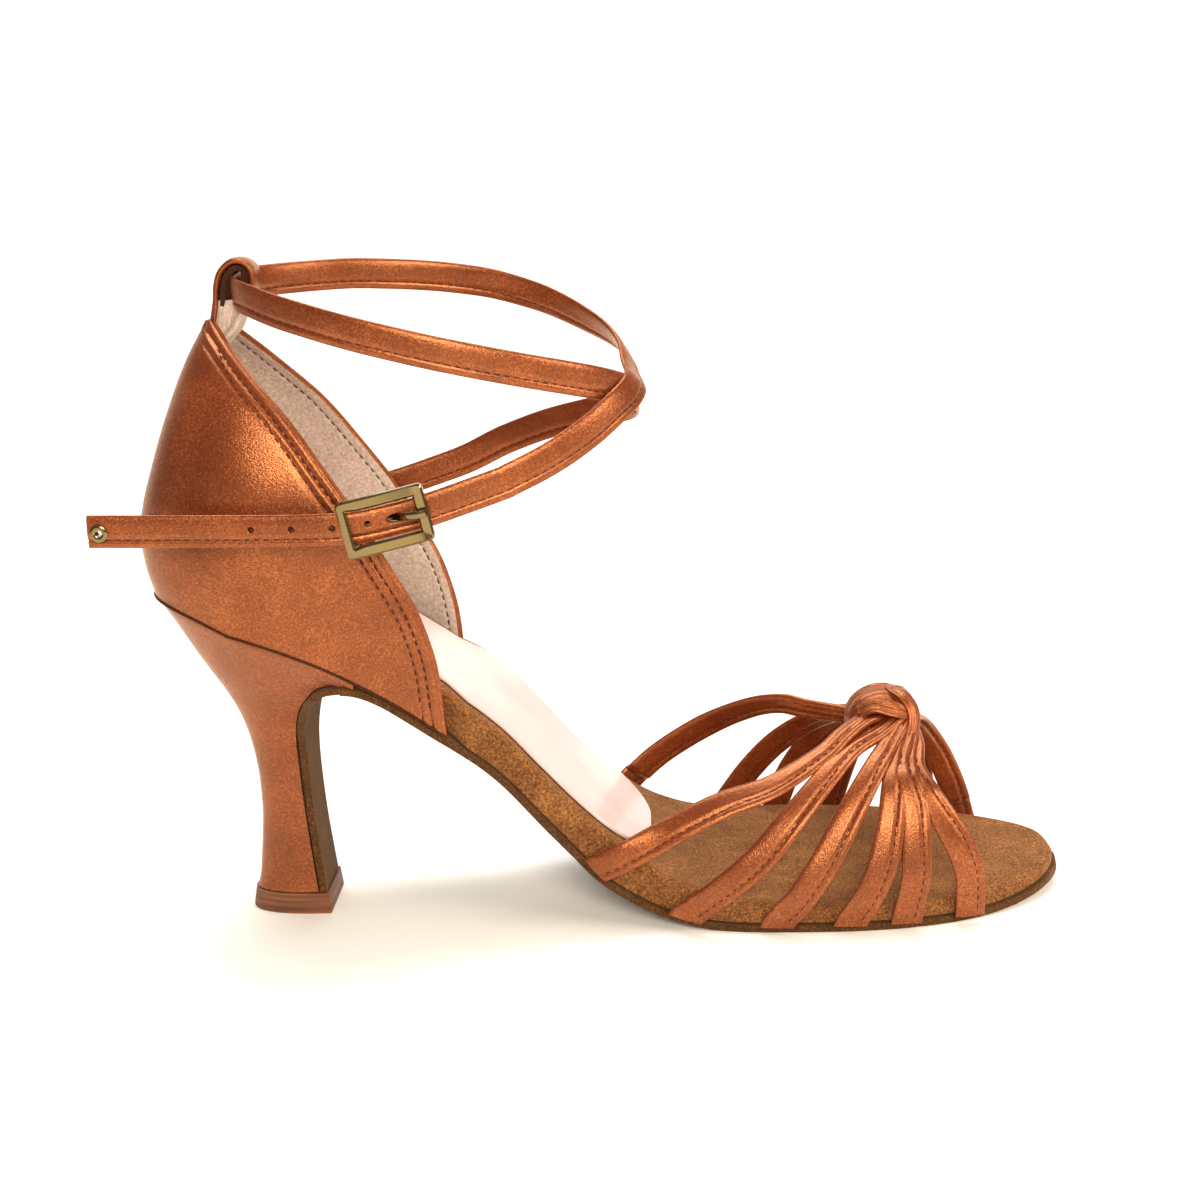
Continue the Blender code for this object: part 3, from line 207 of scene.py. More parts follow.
# Folds of the knot: x, y and z in millimetres, half height and half width of the gathered cloth.
KNOT_CENTRE = (176.5, 0.0, 42.5)
KNOT_FOLDS = {
    "knot_core": (
        (175.5, 8.0, 40.0, 2.4, 3.0), (175.5, 4.5, 42.0, 3.9, 4.7), (175.8, 0.0, 42.8, 4.5, 5.2),
        (176.5, -4.0, 43.0, 3.8, 4.6), (177.5, -6.6, 42.8, 2.1, 2.6),
    ),
    "knot_over": (
        (170.4, -6.2, 40.6, 1.3, 2.8), (168.9, -4.6, 44.4, 1.6, 3.5), (170.5, -3.4, 47.3, 1.6, 3.7),
        (173.2, -2.7, 48.7, 1.6, 3.7), (176.3, -2.3, 49.0, 1.6, 3.5), (179.2, -2.6, 48.1, 1.5, 3.1),
        (181.0, -3.8, 45.8, 1.2, 2.6),
    ),
    "knot_over_far": (
        (171.0, 6.6, 39.6, 1.3, 2.8), (169.6, 4.6, 44.2, 1.5, 3.3), (171.8, 4.2, 47.2, 1.5, 3.5),
        (175.6, 4.0, 48.5, 1.5, 3.5), (179.6, 4.2, 47.0, 1.5, 3.3), (181.6, 5.2, 43.2, 1.4, 3.0),
        (180.4, 7.0, 39.6, 1.2, 2.6),
    ),
    "knot_loop": (
        (177.6, 9.4, 37.4, 1.1, 1.7), (180.8, 8.9, 41.4, 1.3, 1.9), (182.4, 6.0, 45.4, 1.3, 2.0),
        (180.6, 2.0, 48.6, 1.3, 2.0), (178.2, -1.2, 49.8, 1.3, 2.0), (180.0, -4.2, 49.2, 1.3, 2.0),
        (181.6, -5.8, 47.4, 1.35, 2.0), (182.2, -7.2, 44.9, 1.35, 2.0), (181.5, -9.2, 42.0, 1.3, 1.9),
        (180.1, -10.6, 39.8, 1.2, 1.7), (178.5, -9.6, 37.2, 1.0, 1.4),
    ),
    "knot_fold_1": (
        (169.6, -3.2, 44.6, 0.9, 1.0), (170.0, -6.0, 47.3, 0.95, 1.05), (173.2, -6.7, 48.9, 0.95, 1.1),
        (176.9, -7.3, 48.4, 0.95, 1.1), (179.6, -7.6, 47.0, 0.9, 1.0), (181.2, -6.0, 45.2, 0.8, 0.9),
    ),
    "knot_fold_2": (
        (169.6, -4.8, 43.4, 0.9, 0.95), (170.2, -7.3, 46.4, 0.9, 1.0), (173.1, -8.2, 47.7, 0.9, 1.0),
        (176.4, -8.6, 46.9, 0.9, 1.0), (179.6, -8.6, 46.0, 0.85, 0.95), (181.2, -6.8, 44.4, 0.8, 0.9),
    ),
    "knot_fold_far": (
        (170.2, 5.2, 43.4, 0.9, 1.1), (171.2, 7.6, 45.8, 1.0, 1.2), (174.4, 8.6, 46.4, 1.0, 1.3),
        (177.8, 8.6, 45.4, 1.0, 1.2), (180.8, 7.4, 43.4, 0.9, 1.1),
    ),
}
# The ankle band as two turns of an oval: turn in degrees from the front to the outer side, height,
# distance outside the oval in millimetres, lean of the band's top to the foot in degrees.
RING_MIDDLE = 0.334
RING_LONG = 0.20636 * LENGTH
RING_WIDE = 0.37368 * BALL
BAND = (
    ("turn", "high", "out", "lean"),
    (-119.0, 1.245, 3.8, 0.0), (-109.0, 1.270, 1.6, 0.0), (-98.0, 1.302, 0.5, 0.0),
    (-88.0, 1.334, 0.1, 0.0), (-74.0, 1.395, 0.0, 0.0), (-57.0, 1.448, 0.0, 0.0), (-42.0, 1.478, 0.0, 4.0),
    (-20.0, 1.512, 0.2, 8.0), (0.0, 1.552, 0.3, 6.0), (30.0, 1.612, 0.2, 2.0), (60.0, 1.675, 0.0, 0.0),
    (82.0, 1.729, 0.0, 0.0), (103.0, 1.785, 0.0, 0.0), (131.0, 1.856, 0.0, 0.0), (155.0, 1.900, 0.0, 0.0),
    (180.0, 1.918, 0.0, 0.0), (205.0, 1.932, 0.0, 0.0), (235.0, 1.934, 0.0, 0.0), (257.0, 1.920, 0.0, 2.0),
    (280.0, 1.888, 0.0, 8.0), (299.0, 1.838, -0.3, 16.0), (322.0, 1.760, -0.8, 26.0),
    (345.0, 1.692, -1.0, 36.0), (360.0, 1.648, -0.8, 38.0), (368.0, 1.622, 0.5, 37.0),
    (375.0, 1.606, 2.0, 32.0), (382.0, 1.583, 2.6, 24.0), (390.0, 1.556, 2.8, 16.0),
    (402.0, 1.500, 2.6, 8.0), (416.0, 1.436, 2.3, 3.0), (431.0, 1.378, 2.2, 0.0),
)
# The free end of the band: shares of LENGTH, BALL and SEAT_RISE.
TONGUE = (
    (0.3370, -0.4030, 1.3240), (0.3000, -0.4120, 1.3010), (0.2640, -0.4300, 1.2860),
    (0.2360, -0.4350, 1.2820), (0.1900, -0.4290, 1.2830), (0.1200, -0.4220, 1.2890),
    (0.0500, -0.4180, 1.2970), (-0.0110, -0.4150, 1.3040),
)
PRONG_HOLE = (4.6, 2.0)  # length and width
EYELET_HOLE = (2.6, 2.6)
PINHOLES = (33.9, 42.8, 51.9, 59.6)
PINHOLE_WIDE = 1.35

# Loop at the top of the back: shares of LENGTH and SEAT_RISE, bend across in 1/mm, thickness of the
# dark sheet inside it, which is painted shade.
LOOP = (
    ("x", "z", "bend", "fill"),
    (0.0880, 1.736, 0.045, 0.3), (0.0965, 1.792, 0.045, 0.3), (0.1025, 1.840, 0.040, 0.5),
    (0.1075, 1.888, 0.020, 1.6), (0.1105, 1.931, 0.006, 2.0), (0.1165, 1.970, 0.000, 1.7),
    (0.1280, 1.996, 0.000, 1.5), (0.1395, 1.996, 0.000, 1.5), (0.1480, 1.974, 0.000, 1.7),
    (0.1485, 1.931, 0.000, 2.2), (0.1400, 1.888, 0.006, 1.4), (0.1305, 1.846, 0.025, 0.6),
    (0.1225, 1.808, 0.040, 0.3), (0.1100, 1.775, 0.045, 0.3), (0.0965, 1.723, 0.045, 0.3),
)
LOOP_LINED = 1.875  # height, as a share of SEAT_RISE, below which the lining shows
LOOP_WIDE = 8.0
LOOP_THICK = 1.7

# Buckle: sizes along the band, across it and away from the foot.
BUCKLE_LONG = 17.4
BUCKLE_HIGH = 10.8
BUCKLE_BAR = 1.0
BUCKLE_CORNER = 1.05
BUCKLE_BEVEL = 0.42
BUCKLE_INSIDE = 0.55  # how much further in the bars reach at the top, the bottom and the front
BUCKLE_AT = (0.2895 * LENGTH, 1.3013 * SEAT_RISE)
BUCKLE_TILT = 10.8
FRAME_REAR_OUT = 0.4605 * BALL
FRAME_FRONT_OUT = 0.4355 * BALL
# The hinge bar behind the band, which the tab and the prong go round, and its two posts.
HINGE_OUT = 0.3882 * BALL
HINGE_BAR = 0.95
HINGE_POST = 0.8
HINGE_BEND = 1.2
EYELET_AT = (0.0009 * LENGTH, 0.4151 * BALL, 1.3 * SEAT_RISE)
PRONG_HOLE_AT = (0.2995 * LENGTH, 1.3058 * SEAT_RISE)
PRONG = ((-4.8, -0.9), (-0.8, -0.5), (2.0, 1.4), (4.4, 4.2), (6.6, 5.6), (9.3, 5.7))
PRONG_WIDE = 1.8
PRONG_THICK = 1.2
TAB_THICK = 1.1
TAB_WIDE = 5.6
HINGE_PLAY = 0.25  # air between the hinge bar and what goes round it
# Profile of the eyelet: distance from its axis and out from the band.
EYELET = (
    (0.75, -0.9), (1.15, -0.9), (1.15, 1.0), (2.0, 1.05), (2.0, 1.3), (1.75, 1.5), (1.2, 1.6), (0.75, 1.4)
)

# Lamps: place and aim in metres, size in metres, power in watts, colour. The key and the side lamp are a
# little warm, and the backdrop lamp lights the sheet behind the shoe.
LAMPS = {
    "key": ((0.16, -0.92, 0.56), (0.06, 0, 0.07), (0.42, 0.36), 9.2, "#FFF2DC"),
    "side": ((0.85, -0.40, 0.50), (0.10, 0, 0.05), (0.40, 0.34), 5.0, "#FFF2DC"),
    "overhead": ((0.10, 0.08, 1.15), (0.07, 0, 0.02), (0.9, 0.6), 5.2, "#FFFCF8"),
    "backdrop": ((0.07, 0.45, 1.5), (0.07, 1.05, 0.1), (1.4, 0.4), 18.0, "#FFFFFF"),
}
ROOM_LIGHT = 0.25
# Paper sheet, in millimetres: half width, how far it runs to the front, where it starts to curve up
# behind the shoe, radius of the curve, height.
PAPER = (3500.0, 3000.0, 700.0, 500.0, 3500.0)

# Camera, as the photo was taken: degrees round the shoe and above the floor, millimetres, degrees of roll.
CAMERA_ROUND = 1.9
CAMERA_HIGH = 14.5
CAMERA_FAR = 400.0
CAMERA_AIM = (80.9, 13.2, 72.0)
CAMERA_LENS = 47.94
CAMERA_ROLL = -3.0
CAMERA_SENSOR = 36.0


# Curves and sections


def columns(table):
    """One array for each named column of a table."""
    rows = np.array(table[1:], float)
    return {name: rows[:, k] for k, name in enumerate(table[0])}


def unit(vectors):
    """Vectors divided by their lengths."""
    return vectors / np.linalg.norm(vectors, axis=-1, keepdims=True)


def through(t, values, at):
    """Monotone cubic through (t, values): Hermite pieces whose slopes are weighted harmonic means."""
    t = np.asarray(t, float)
    values = np.asarray(values, float)
    steps = np.diff(t)
    rise = np.diff(values) / steps
    slope = np.zeros(len(t))
    same = rise[:-1] * rise[1:] > 0
    w1 = 2 * steps[1:] + steps[:-1]
    w2 = steps[1:] + 2 * steps[:-1]
    inner = (w1 + w2) / (w1 / np.where(same, rise[:-1], 1) + w2 / np.where(same, rise[1:], 1))
    slope[1:-1] = np.where(same, inner, 0)
    slope[0] = rise[0]
    slope[-1] = rise[-1]
    at = np.clip(np.asarray(at, float), t[0], t[-1])
    k = np.clip(np.searchsorted(t, at, side="right") - 1, 0, len(t) - 2)
    h = steps[k]
    u = (at - t[k]) / h
    a = (1 + 2 * u) * (1 - u) ** 2 * values[k] + u * (1 - u) ** 2 * h * slope[k]
    return a + u**2 * (3 - 2 * u) * values[k + 1] + u**2 * (u - 1) * h * slope[k + 1]


def path(points, count):
    """Catmull-Rom curve through the points, at equal steps of its length. Further columns ride along."""
    points = np.asarray(points, float)
    ends = np.vstack([2 * points[0] - points[1], points, 2 * points[-1] - points[-2]])
    p0, p1, p2, p3 = (ends[k : k + len(points) - 1, None] for k in range(4))
    u = np.linspace(0, 1, 24, endpoint=False)[None, :, None]
    fine = 0.5 * (2 * p1 + (p2 - p0) * u + (2 * p0 - 5 * p1 + 4 * p2 - p3) * u**2
                  + (3 * p1 - p0 - 3 * p2 + p3) * u**3)
    fine = np.vstack([fine.reshape(-1, points.shape[1]), points[-1:]])
    run = np.r_[0, np.cumsum(np.linalg.norm(np.diff(fine[:, :3], axis=0), axis=1))]
    at = np.linspace(0, run[-1], count)
    return np.column_stack([np.interp(at, run, fine[:, c]) for c in range(fine.shape[1])])


def round_end(u, power=2.0):
    """(1 - u^p)^(1/p): the full width at u = 0, nothing at u = 1."""
    return (1 - np.clip(u, 0, 1) ** power) ** (1 / power)


def squared(cosine, power):
    """The sign of each value times its size to a power: below 1 this squares the corners of a circle."""
    return np.sign(cosine) * np.abs(np.round(cosine, 12)) ** power


def angles(count):
    """Equal steps once round, in radians."""
    return np.linspace(0, 2 * math.pi, count, endpoint=False)


def outline(x):
    """Half widths of the sole at x: the table's smooth line times a round seat and, on each side, a
    round toe."""
    table = columns(OUTLINE)
    at = np.asarray(x, float) / LENGTH
    seat = round_end(1 - at / SEAT_ENDS, 2.5)
    return tuple(
        through(table["x"], table[side], at) * BALL * round_end((at - toe) / (1 - toe)) * seat
        for side, toe in (("outer", TOE_OUTER), ("inner", TOE_INNER))
    )


def toe_share(x, reach=0.25):
    """0 behind the toe, and then the share of reach, itself a share of LENGTH, that x lies past it."""
    return np.clip(x / LENGTH - TOE_BEGINS, 0, 0.25) / reach


def strap_share(x):
    """0 in the arch, 1 where the straps pass."""
    return np.clip((x / LENGTH - STRAPS_BEGIN) / STRAPS_BLEND, 0, 1)


def seam_lift(x):
    """Extra height of the seam round the back of the seat: lift · (1 - (x / long)^1.5)."""
    return SEAM_LIFT * (1 - np.clip(np.asarray(x, float) / SEAM_LIFT_LONG, 0, 1) ** 1.5)


def seam(x):
    """Height of the line where the closed back meets the heel: a power curve down to the arch."""
    share = np.clip((np.asarray(x, float) - SEAM_START) / (SEAM_END - SEAM_START), 0, 1.2)
    return SEAT_RISE + 0.4 - SEAM_DROP * share**SEAM_POWER + seam_lift(x)


def board_height(x):
    """Height of the board's top at x."""
    table = columns(BOARD_TOP)
    return through(table["x"], table["z"], np.asarray(x, float) / LENGTH) * SEAT_RISE


def underside(count):
    """Line of the sole's underside and its unit normal towards the foot, both as x and z."""
    table = columns(UNDERSIDE)
    line = path(np.column_stack([table["x"] * LENGTH, table["z"] * SEAT_RISE]), count)
    along = unit(np.gradient(line, axis=0))
    return line, np.column_stack([-along[:, 1], along[:, 0]])


def sole_top(x, lift):
    """Height at x of the line that lies lift above the underside, ahead of the heel breast."""
    line, normal = underside(400)
    line = line + lift * normal
    start = int(np.argmax(line[:, 1])) - 6
    return np.interp(x, line[start:, 0], line[start:, 1])


def slab(outer, inner, low, high, soft_low, soft_high):
    """Section across the shoe as y and height, one row for each station: a box whose corners are
    quarter circles of radius soft, with a few points on each long side that keep it flat."""
    outer, inner, low, high, soft_low, soft_high = (
        np.asarray(v, float).reshape(-1, 1) * np.ones((len(np.atleast_1d(outer)), 1))
        for v in (outer, inner, low, high, soft_low, soft_high)
    )
    arc = np.linspace(0, math.pi / 2, 6)[None, :]
    flat = np.array([0.01, 0.05, 0.2, 0.5, 0.8, 0.95, 0.99])[None, :]
    left_low = -outer + soft_low
    right_low = inner - soft_low
    left_high = -outer + soft_high
    right_high = inner - soft_high
    y = [
        left_low - soft_low * np.cos(arc),
        left_low + (right_low - left_low) * flat,
        right_low + soft_low * np.sin(arc),
        right_high + soft_high * np.cos(arc),
        right_high + (left_high - right_high) * flat,
        left_high - soft_high * np.sin(arc),
    ]
    h = [
        low + soft_low - soft_low * np.sin(arc),
        low + 0 * flat,
        low + soft_low - soft_low * np.cos(arc),
        high - soft_high + soft_high * np.sin(arc),
        high + 0 * flat,
        high - soft_high + soft_high * np.cos(arc),
    ]
    return np.hstack(y), np.hstack(h)


# Meshes


def add_piece(name, points, faces, looks, part):
    """A smooth mesh object at the origin from points in millimetres. It stands for the CAD part."""
    mesh = bpy.data.meshes.new(name)
    mesh.from_pydata((points.reshape(-1, 3) - np.array([SET_BACK, 0, 0])) * MM, [], faces)
    for look in looks:
        mesh.materials.append(look)
    mesh.polygons.foreach_set("use_smooth", np.ones(len(mesh.polygons), bool))
    mesh.update()
    made = bpy.data.objects.new(name, mesh)
    bpy.context.scene.collection.objects.link(made)
    if part:
        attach(made, "root")
        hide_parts(part)
    return made


def end_faces(rows, cols, ends):
    """Faces that close the first and the last row: one each ("flat"), or several across ("strip")."""
    last = (rows - 1) * cols
    if ends == "flat":
        return [list(range(cols))[::-1], [last + j for j in range(cols)]]
    caps = []
    for j in range(cols // 2 if ends == "strip" else 0):
        edge = [j, j + 1, cols - 2 - j, cols - 1 - j]
        if len(set(edge)) == 4:
            caps += [edge[::-1], [last + m for m in edge]]
        elif edge[1] == edge[2]:
            caps += [[edge[3], edge[1], edge[0]], [last + m for m in (edge[0], edge[1], edge[3])]]
    return caps


def enclosed(points, faces):
    """Six times the volume inside closed faces: each face as a fan of triangles, and for each triangle the
    product a · (b x c). It is negative where the faces point inwards."""
    fans = np.array([(f[0], f[k], f[k + 1]) for f in faces for k in range(1, len(f) - 1)])
    a, b, c = (points[fans[:, n]] for n in range(3))
    return np.sum(a * np.cross(b, c))


def surface(name, points, looks, part, ring=False, loop=False, ends=None, face_look=None, sharp=48):
    """A mesh on a grid of points. Point i, k joins i + 1 and k + 1, ring joins the last column to the
    first, and loop the last row to the first. ends is a way to close the end rows or a list of faces.
    A closed form faces outwards. The UV map holds the lengths along and across, in metres."""
    points = np.asarray(points, float)
    rows, cols = points.shape[:2]
    i = np.arange(rows if loop else rows - 1)[:, None]
    k = np.arange(cols if ring else cols - 1)[None, :]
    i2 = (i + 1) % rows
    k2 = (k + 1) % cols
    quads = np.stack([i * cols + k, i * cols + k2, i2 * cols + k2, i2 * cols + k], axis=-1).reshape(-1, 4)
    down = np.linalg.norm(np.roll(points, -1, axis=0) - points, axis=2).mean(axis=1)
    along = np.r_[0, np.cumsum(down)]
    right = np.linalg.norm(np.roll(points, -1, axis=1) - points, axis=2)
    across = np.concatenate([np.zeros((rows, 1)), np.cumsum(right, axis=1)], axis=1)
    across -= across[:, cols // 2][:, None]
    low, high = along[i] + 0 * k, along[i + 1] + 0 * k
    corner_u = np.stack([low, low, high, high], axis=-1)
    corner_v = np.stack([across[i, k], across[i, k + 1], across[i2, k + 1], across[i2, k]], axis=-1)
    uv = np.stack([corner_u, corner_v], axis=-1).reshape(-1, 2) * MM
    faces = quads.tolist()
    caps = ends if isinstance(ends, list) else end_faces(rows, cols, ends)
    if (ring or loop) and enclosed(points.reshape(-1, 3), faces + caps) < 0:
        faces = [f[::-1] for f in faces]
        caps = [f[::-1] for f in caps]
        uv = uv.reshape(-1, 4, 2)[:, ::-1].reshape(-1, 2)
    made = add_piece(name, points, faces + caps, looks, part)
    mesh = made.data
    if face_look is not None:
        picks = np.r_[np.asarray(face_look).reshape(-1), np.zeros(len(caps), int)]
        mesh.polygons.foreach_set("material_index", picks.astype(np.int32))
    layer = mesh.uv_layers.new(name="lengths")
    spare = np.zeros((sum(len(f) for f in caps), 2))
    layer.data.foreach_set("uv", np.vstack([uv, spare]).astype(np.float32).ravel())
    mesh.set_sharp_from_angle(angle=math.radians(sharp))
    mesh.update()
    return made


def directions(line, outs):
    """Unit vectors outwards and across along the line: across = along x out."""
    along = unit(np.gradient(line, axis=0))
    out = unit(outs - along * np.sum(outs * along, axis=1, keepdims=True))
    return out, np.cross(along, out)


def band_height(s, wide, thick, seam_side, pleat):
    """Half thickness of a rounded band at s from -1 to 1 across it: thick / 2 · (1 - s^4)^(1/2), pressed
    in by half along the row of stitches and flatter beyond it, with small pleats where it is gathered."""
    place = seam_side * (1 - STRAP_SEAM / (wide / 2))
    press = 0.5 * np.exp(-(((s - place) * wide / 2) / STITCH_GROOVE) ** 2)
    flange = 0.22 / (1 + np.exp(-(s * seam_side - abs(place)) * wide / 2 / 0.2))
    body = np.sqrt(np.clip(1 - s**4, 0, 1)) * (1 - (press + flange) * (1 - pleat))
    return thick / 2 * body + 0.2 * pleat * np.cos(2.5 * math.pi * s + 0.6) * (1 - s**2)


def band_grid(line, outs, wides, thicks, seam_side, pleats, count=46):
    """Grid of a band that follows the line, flat to the direction outs."""
    out, across = directions(line, outs)
    turn = angles(count)[None, :]
    s = -squared(np.cos(turn), 0.85)
    side = np.sign(np.sin(turn + 1e-9))
    wides = np.asarray(wides)[:, None]
    high = band_height(s, wides, np.asarray(thicks)[:, None], seam_side, np.asarray(pleats)[:, None])
    a = (s * wides / 2)[:, :, None]
    b = (side * high)[:, :, None]
    return line[:, None] + across[:, None] * a + out[:, None] * b


def stitch_row(name, line, outs, look, part):
    """Thread along a line: each stitch is a six-sided tube, thick in the middle, whose ends dip into the
    cloth. Its height is THREAD · (1.3 (1 - w^4) - 0.9) and its radius THREAD · (1 - 0.75 w^6), for w from
    -1 to 1 along it."""
    run = np.r_[0, np.cumsum(np.linalg.norm(np.diff(line, axis=0), axis=1))]
    starts = np.arange(0.5 * STITCH_PITCH, run[-1] - STITCH_LONG, STITCH_PITCH)
    w = np.linspace(-1, 1, 7)
    at = starts[:, None] + (w[None, :] + 1) / 2 * STITCH_LONG
    middle, up, over = (
        np.stack([np.interp(at, run, field[:, c]) for c in range(3)], axis=-1)
        for field in (line, *directions(line, outs))
    )
    middle = middle + up * (THREAD * (1.3 * (1 - w**4) - 0.9))[None, :, None]
    turn = angles(6)[None, None, :, None]
    radius = (THREAD * (1 - 0.75 * np.abs(w) ** 6))[None, :, None, None]
    rings = middle[:, :, None] + radius * (up[:, :, None] * np.sin(turn) + over[:, :, None] * np.cos(turn))
    total, stations, sides = rings.shape[:3]
    n = np.arange(total)[:, None, None] * stations * sides
    i = np.arange(stations - 1)[None, :, None] * sides
    k = np.arange(sides)[None, None, :]
    k2 = (k + 1) % sides
    quads = np.broadcast_arrays(n + i + k, n + i + sides + k, n + i + sides + k2, n + i + k2)
    faces = np.stack(quads, axis=-1).reshape(-1, 4).tolist()
    faces += (n[:, 0] + np.arange(sides)[None, :]).tolist()
    faces += (n[:, 0] + (stations - 1) * sides + np.arange(sides)[None, ::-1]).tolist()
    add_piece(name, rings, faces, [look], part)


def cut_holes(body, tools):
    """Takes the tools' shapes out of the body, and the tools out of the scene."""
    for tool in tools:
        step = body.modifiers.new(tool.name, "BOOLEAN")
        step.operation = "DIFFERENCE"
        step.solver = "EXACT"
        step.object = tool
    shown = body.evaluated_get(bpy.context.evaluated_depsgraph_get())
    mesh = bpy.data.meshes.new_from_object(shown)
    body.modifiers.clear()
    body.data = mesh
    for tool in tools:
        bpy.data.objects.remove(tool)


# Materials


def linear(code):
    """A colour from its sRGB hex code: c / 12.92 below 0.04045, else ((c + 0.055) / 1.055)^2.4."""
    values = np.array([int(code[k : k + 2], 16) for k in (1, 3, 5)]) / 255
    values = np.where(values <= 0.04045, values / 12.92, ((values + 0.055) / 1.055) ** 2.4)
    return (*values.tolist(), 1.0)


def node(tree, kind, settings=None, stops=None, **inputs):
    """One shader node: its own settings, the stops of a colour ramp as places and hex colours, and for
    each input a value or another node's output."""
    made = tree.nodes.new(kind)
    for key, value in (settings or {}).items():
        setattr(made, key, value)
    for key, value in inputs.items():
        place = int(key[1:]) if key[0] == "_" else key.replace("_", " ")
        if isinstance(value, bpy.types.NodeSocket):
            tree.links.new(value, made.inputs[place])
        else:
            made.inputs[place].default_value = value
    if stops:
        points = made.color_ramp.elements
        while len(points) < len(stops):
            points.new(0.5)
        for point, (at, code) in zip(points, stops):
            point.position = at
            point.color = linear(code)
    return made


def new_material(name):
    """An empty material and its node tree."""
    look = bpy.data.materials.new(name)
    look.use_nodes = True
    look.node_tree.nodes.clear()
    return look, look.node_tree


def satin(name, deep, middle, light, gloss):
    """Polyester satin on a woven backing: long floats give a warm metallic gleam, broken up by a fine
    uneven grain and by soft clouds where the cloth was pulled over its backing."""
    look, tree = new_material(name)
    place = node(tree, "ShaderNodeTexCoord").outputs["Object"]
    # Floats lie about 0.12 mm apart and are drawn as a grain of 0.5 mm so that they show.
    grain = node(tree, "ShaderNodeTexNoise", Vector=place, Scale=1000.0 / 0.5, Detail=3.0, Roughness=0.65)
    cloud = node(tree, "ShaderNodeTexNoise", Vector=place, Scale=1000.0 / 14.0, Detail=3.0, Roughness=0.5)
    fine = node(tree, "ShaderNodeMath", {"operation": "MULTIPLY"}, _0=grain.outputs["Fac"], _1=0.7)
    both = node(tree, "ShaderNodeMath", {"operation": "MULTIPLY_ADD"}, _0=cloud.outputs["Fac"], _1=0.3,
                _2=fine.outputs[0])
    colour = node(tree, "ShaderNodeValToRGB", stops=((0.36, deep), (0.5, middle), (0.64, light)),
                  Fac=both.outputs[0])
    rough = node(tree, "ShaderNodeMapRange", Value=both.outputs[0], From_Min=0.35, From_Max=0.65,
                 To_Min=gloss + 0.07, To_Max=gloss - 0.07)
    bump = node(tree, "ShaderNodeBump", Height=grain.outputs["Fac"], Strength=0.34, Distance=0.0003)
    shader = node(tree, "ShaderNodeBsdfPrincipled", Base_Color=colour.outputs["Color"],
                  Roughness=rough.outputs[0], Normal=bump.outputs[0], Metallic=0.4,
                  Specular_Tint=linear("#FFD096"), Specular_IOR_Level=1.0, IOR=1.62)
    node(tree, "ShaderNodeOutputMaterial", Surface=shader.outputs[0])
    return look


def suede(name, dark, middle, light, nap=0.9, fibre=0.6):
    """Split leather, brushed: no gloss, a velvety edge light, and a nap that lies in patches of about
    7 mm. fibre is the size of a tuft of nap in millimetres."""
    look, tree = new_material(name)
    place = node(tree, "ShaderNodeTexCoord").outputs["Object"]
    fibres = node(tree, "ShaderNodeTexNoise", Vector=place, Scale=1000.0 / fibre, Detail=4.0, Roughness=0.7)
    patches = node(tree, "ShaderNodeTexNoise", Vector=place, Scale=1000.0 / 7.0, Detail=3.0, Roughness=0.6)
    fine = node(tree, "ShaderNodeMath", {"operation": "MULTIPLY"}, _0=fibres.outputs["Fac"], _1=0.78)
    both = node(tree, "ShaderNodeMath", {"operation": "MULTIPLY_ADD"}, _0=patches.outputs["Fac"], _1=0.22,
                _2=fine.outputs[0])
    colour = node(tree, "ShaderNodeValToRGB", stops=((0.34, dark), (0.5, middle), (0.66, light)),
                  Fac=both.outputs[0])
    bump = node(tree, "ShaderNodeBump", Height=fibres.outputs["Fac"], Strength=0.55 * nap, Distance=0.0005)
    shader = node(tree, "ShaderNodeBsdfPrincipled", Base_Color=colour.outputs["Color"],
                  Normal=bump.outputs[0], Roughness=0.95, Specular_IOR_Level=0.15, Sheen_Weight=0.2 * nap,
                  Sheen_Roughness=0.5, Sheen_Tint=linear("#F0C090"))
    node(tree, "ShaderNodeOutputMaterial", Surface=shader.outputs[0])
    return look


def sock_leather(name):
    """Coated sheepskin: smooth and pale, with faint pores 1.1 mm apart, clouds of 25 mm and a soft
    gloss."""
    look, tree = new_material(name)
    place = node(tree, "ShaderNodeTexCoord").outputs["Object"]
    pores = node(tree, "ShaderNodeTexVoronoi", Vector=place, Scale=1000.0 / 1.1)
    cloud = node(tree, "ShaderNodeTexNoise", Vector=place, Scale=1000.0 / 25.0, Detail=2.0)
    colour = node(tree, "ShaderNodeValToRGB", stops=((0.35, "#C8AEA9"), (0.65, "#DCC4BF")),
                  Fac=cloud.outputs["Fac"])
    bump = node(tree, "ShaderNodeBump", Height=pores.outputs["Distance"], Strength=0.06, Distance=0.0002)
    shader = node(tree, "ShaderNodeBsdfPrincipled", Base_Color=colour.outputs["Color"],
                  Normal=bump.outputs[0], Roughness=0.32, Coat_Weight=0.15)
    node(tree, "ShaderNodeOutputMaterial", Surface=shader.outputs[0])
    return look


def plated_metal(name, colour, rough):
    """Zinc alloy, polished and plated pale gold: mirror-like with faint polishing marks 0.8 mm wide."""
    look, tree = new_material(name)
    place = node(tree, "ShaderNodeTexCoord").outputs["Object"]
    marks = node(tree, "ShaderNodeTexNoise", Vector=place, Scale=1000.0 / 0.8, Detail=2.0)
    uneven = node(tree, "ShaderNodeMapRange", Value=marks.outputs["Fac"], To_Min=rough - 0.04,
                  To_Max=rough + 0.08)
    shader = node(tree, "ShaderNodeBsdfPrincipled", Roughness=uneven.outputs[0],
                  Base_Color=linear(colour), Metallic=1.0)
    node(tree, "ShaderNodeOutputMaterial", Surface=shader.outputs[0])
    return look


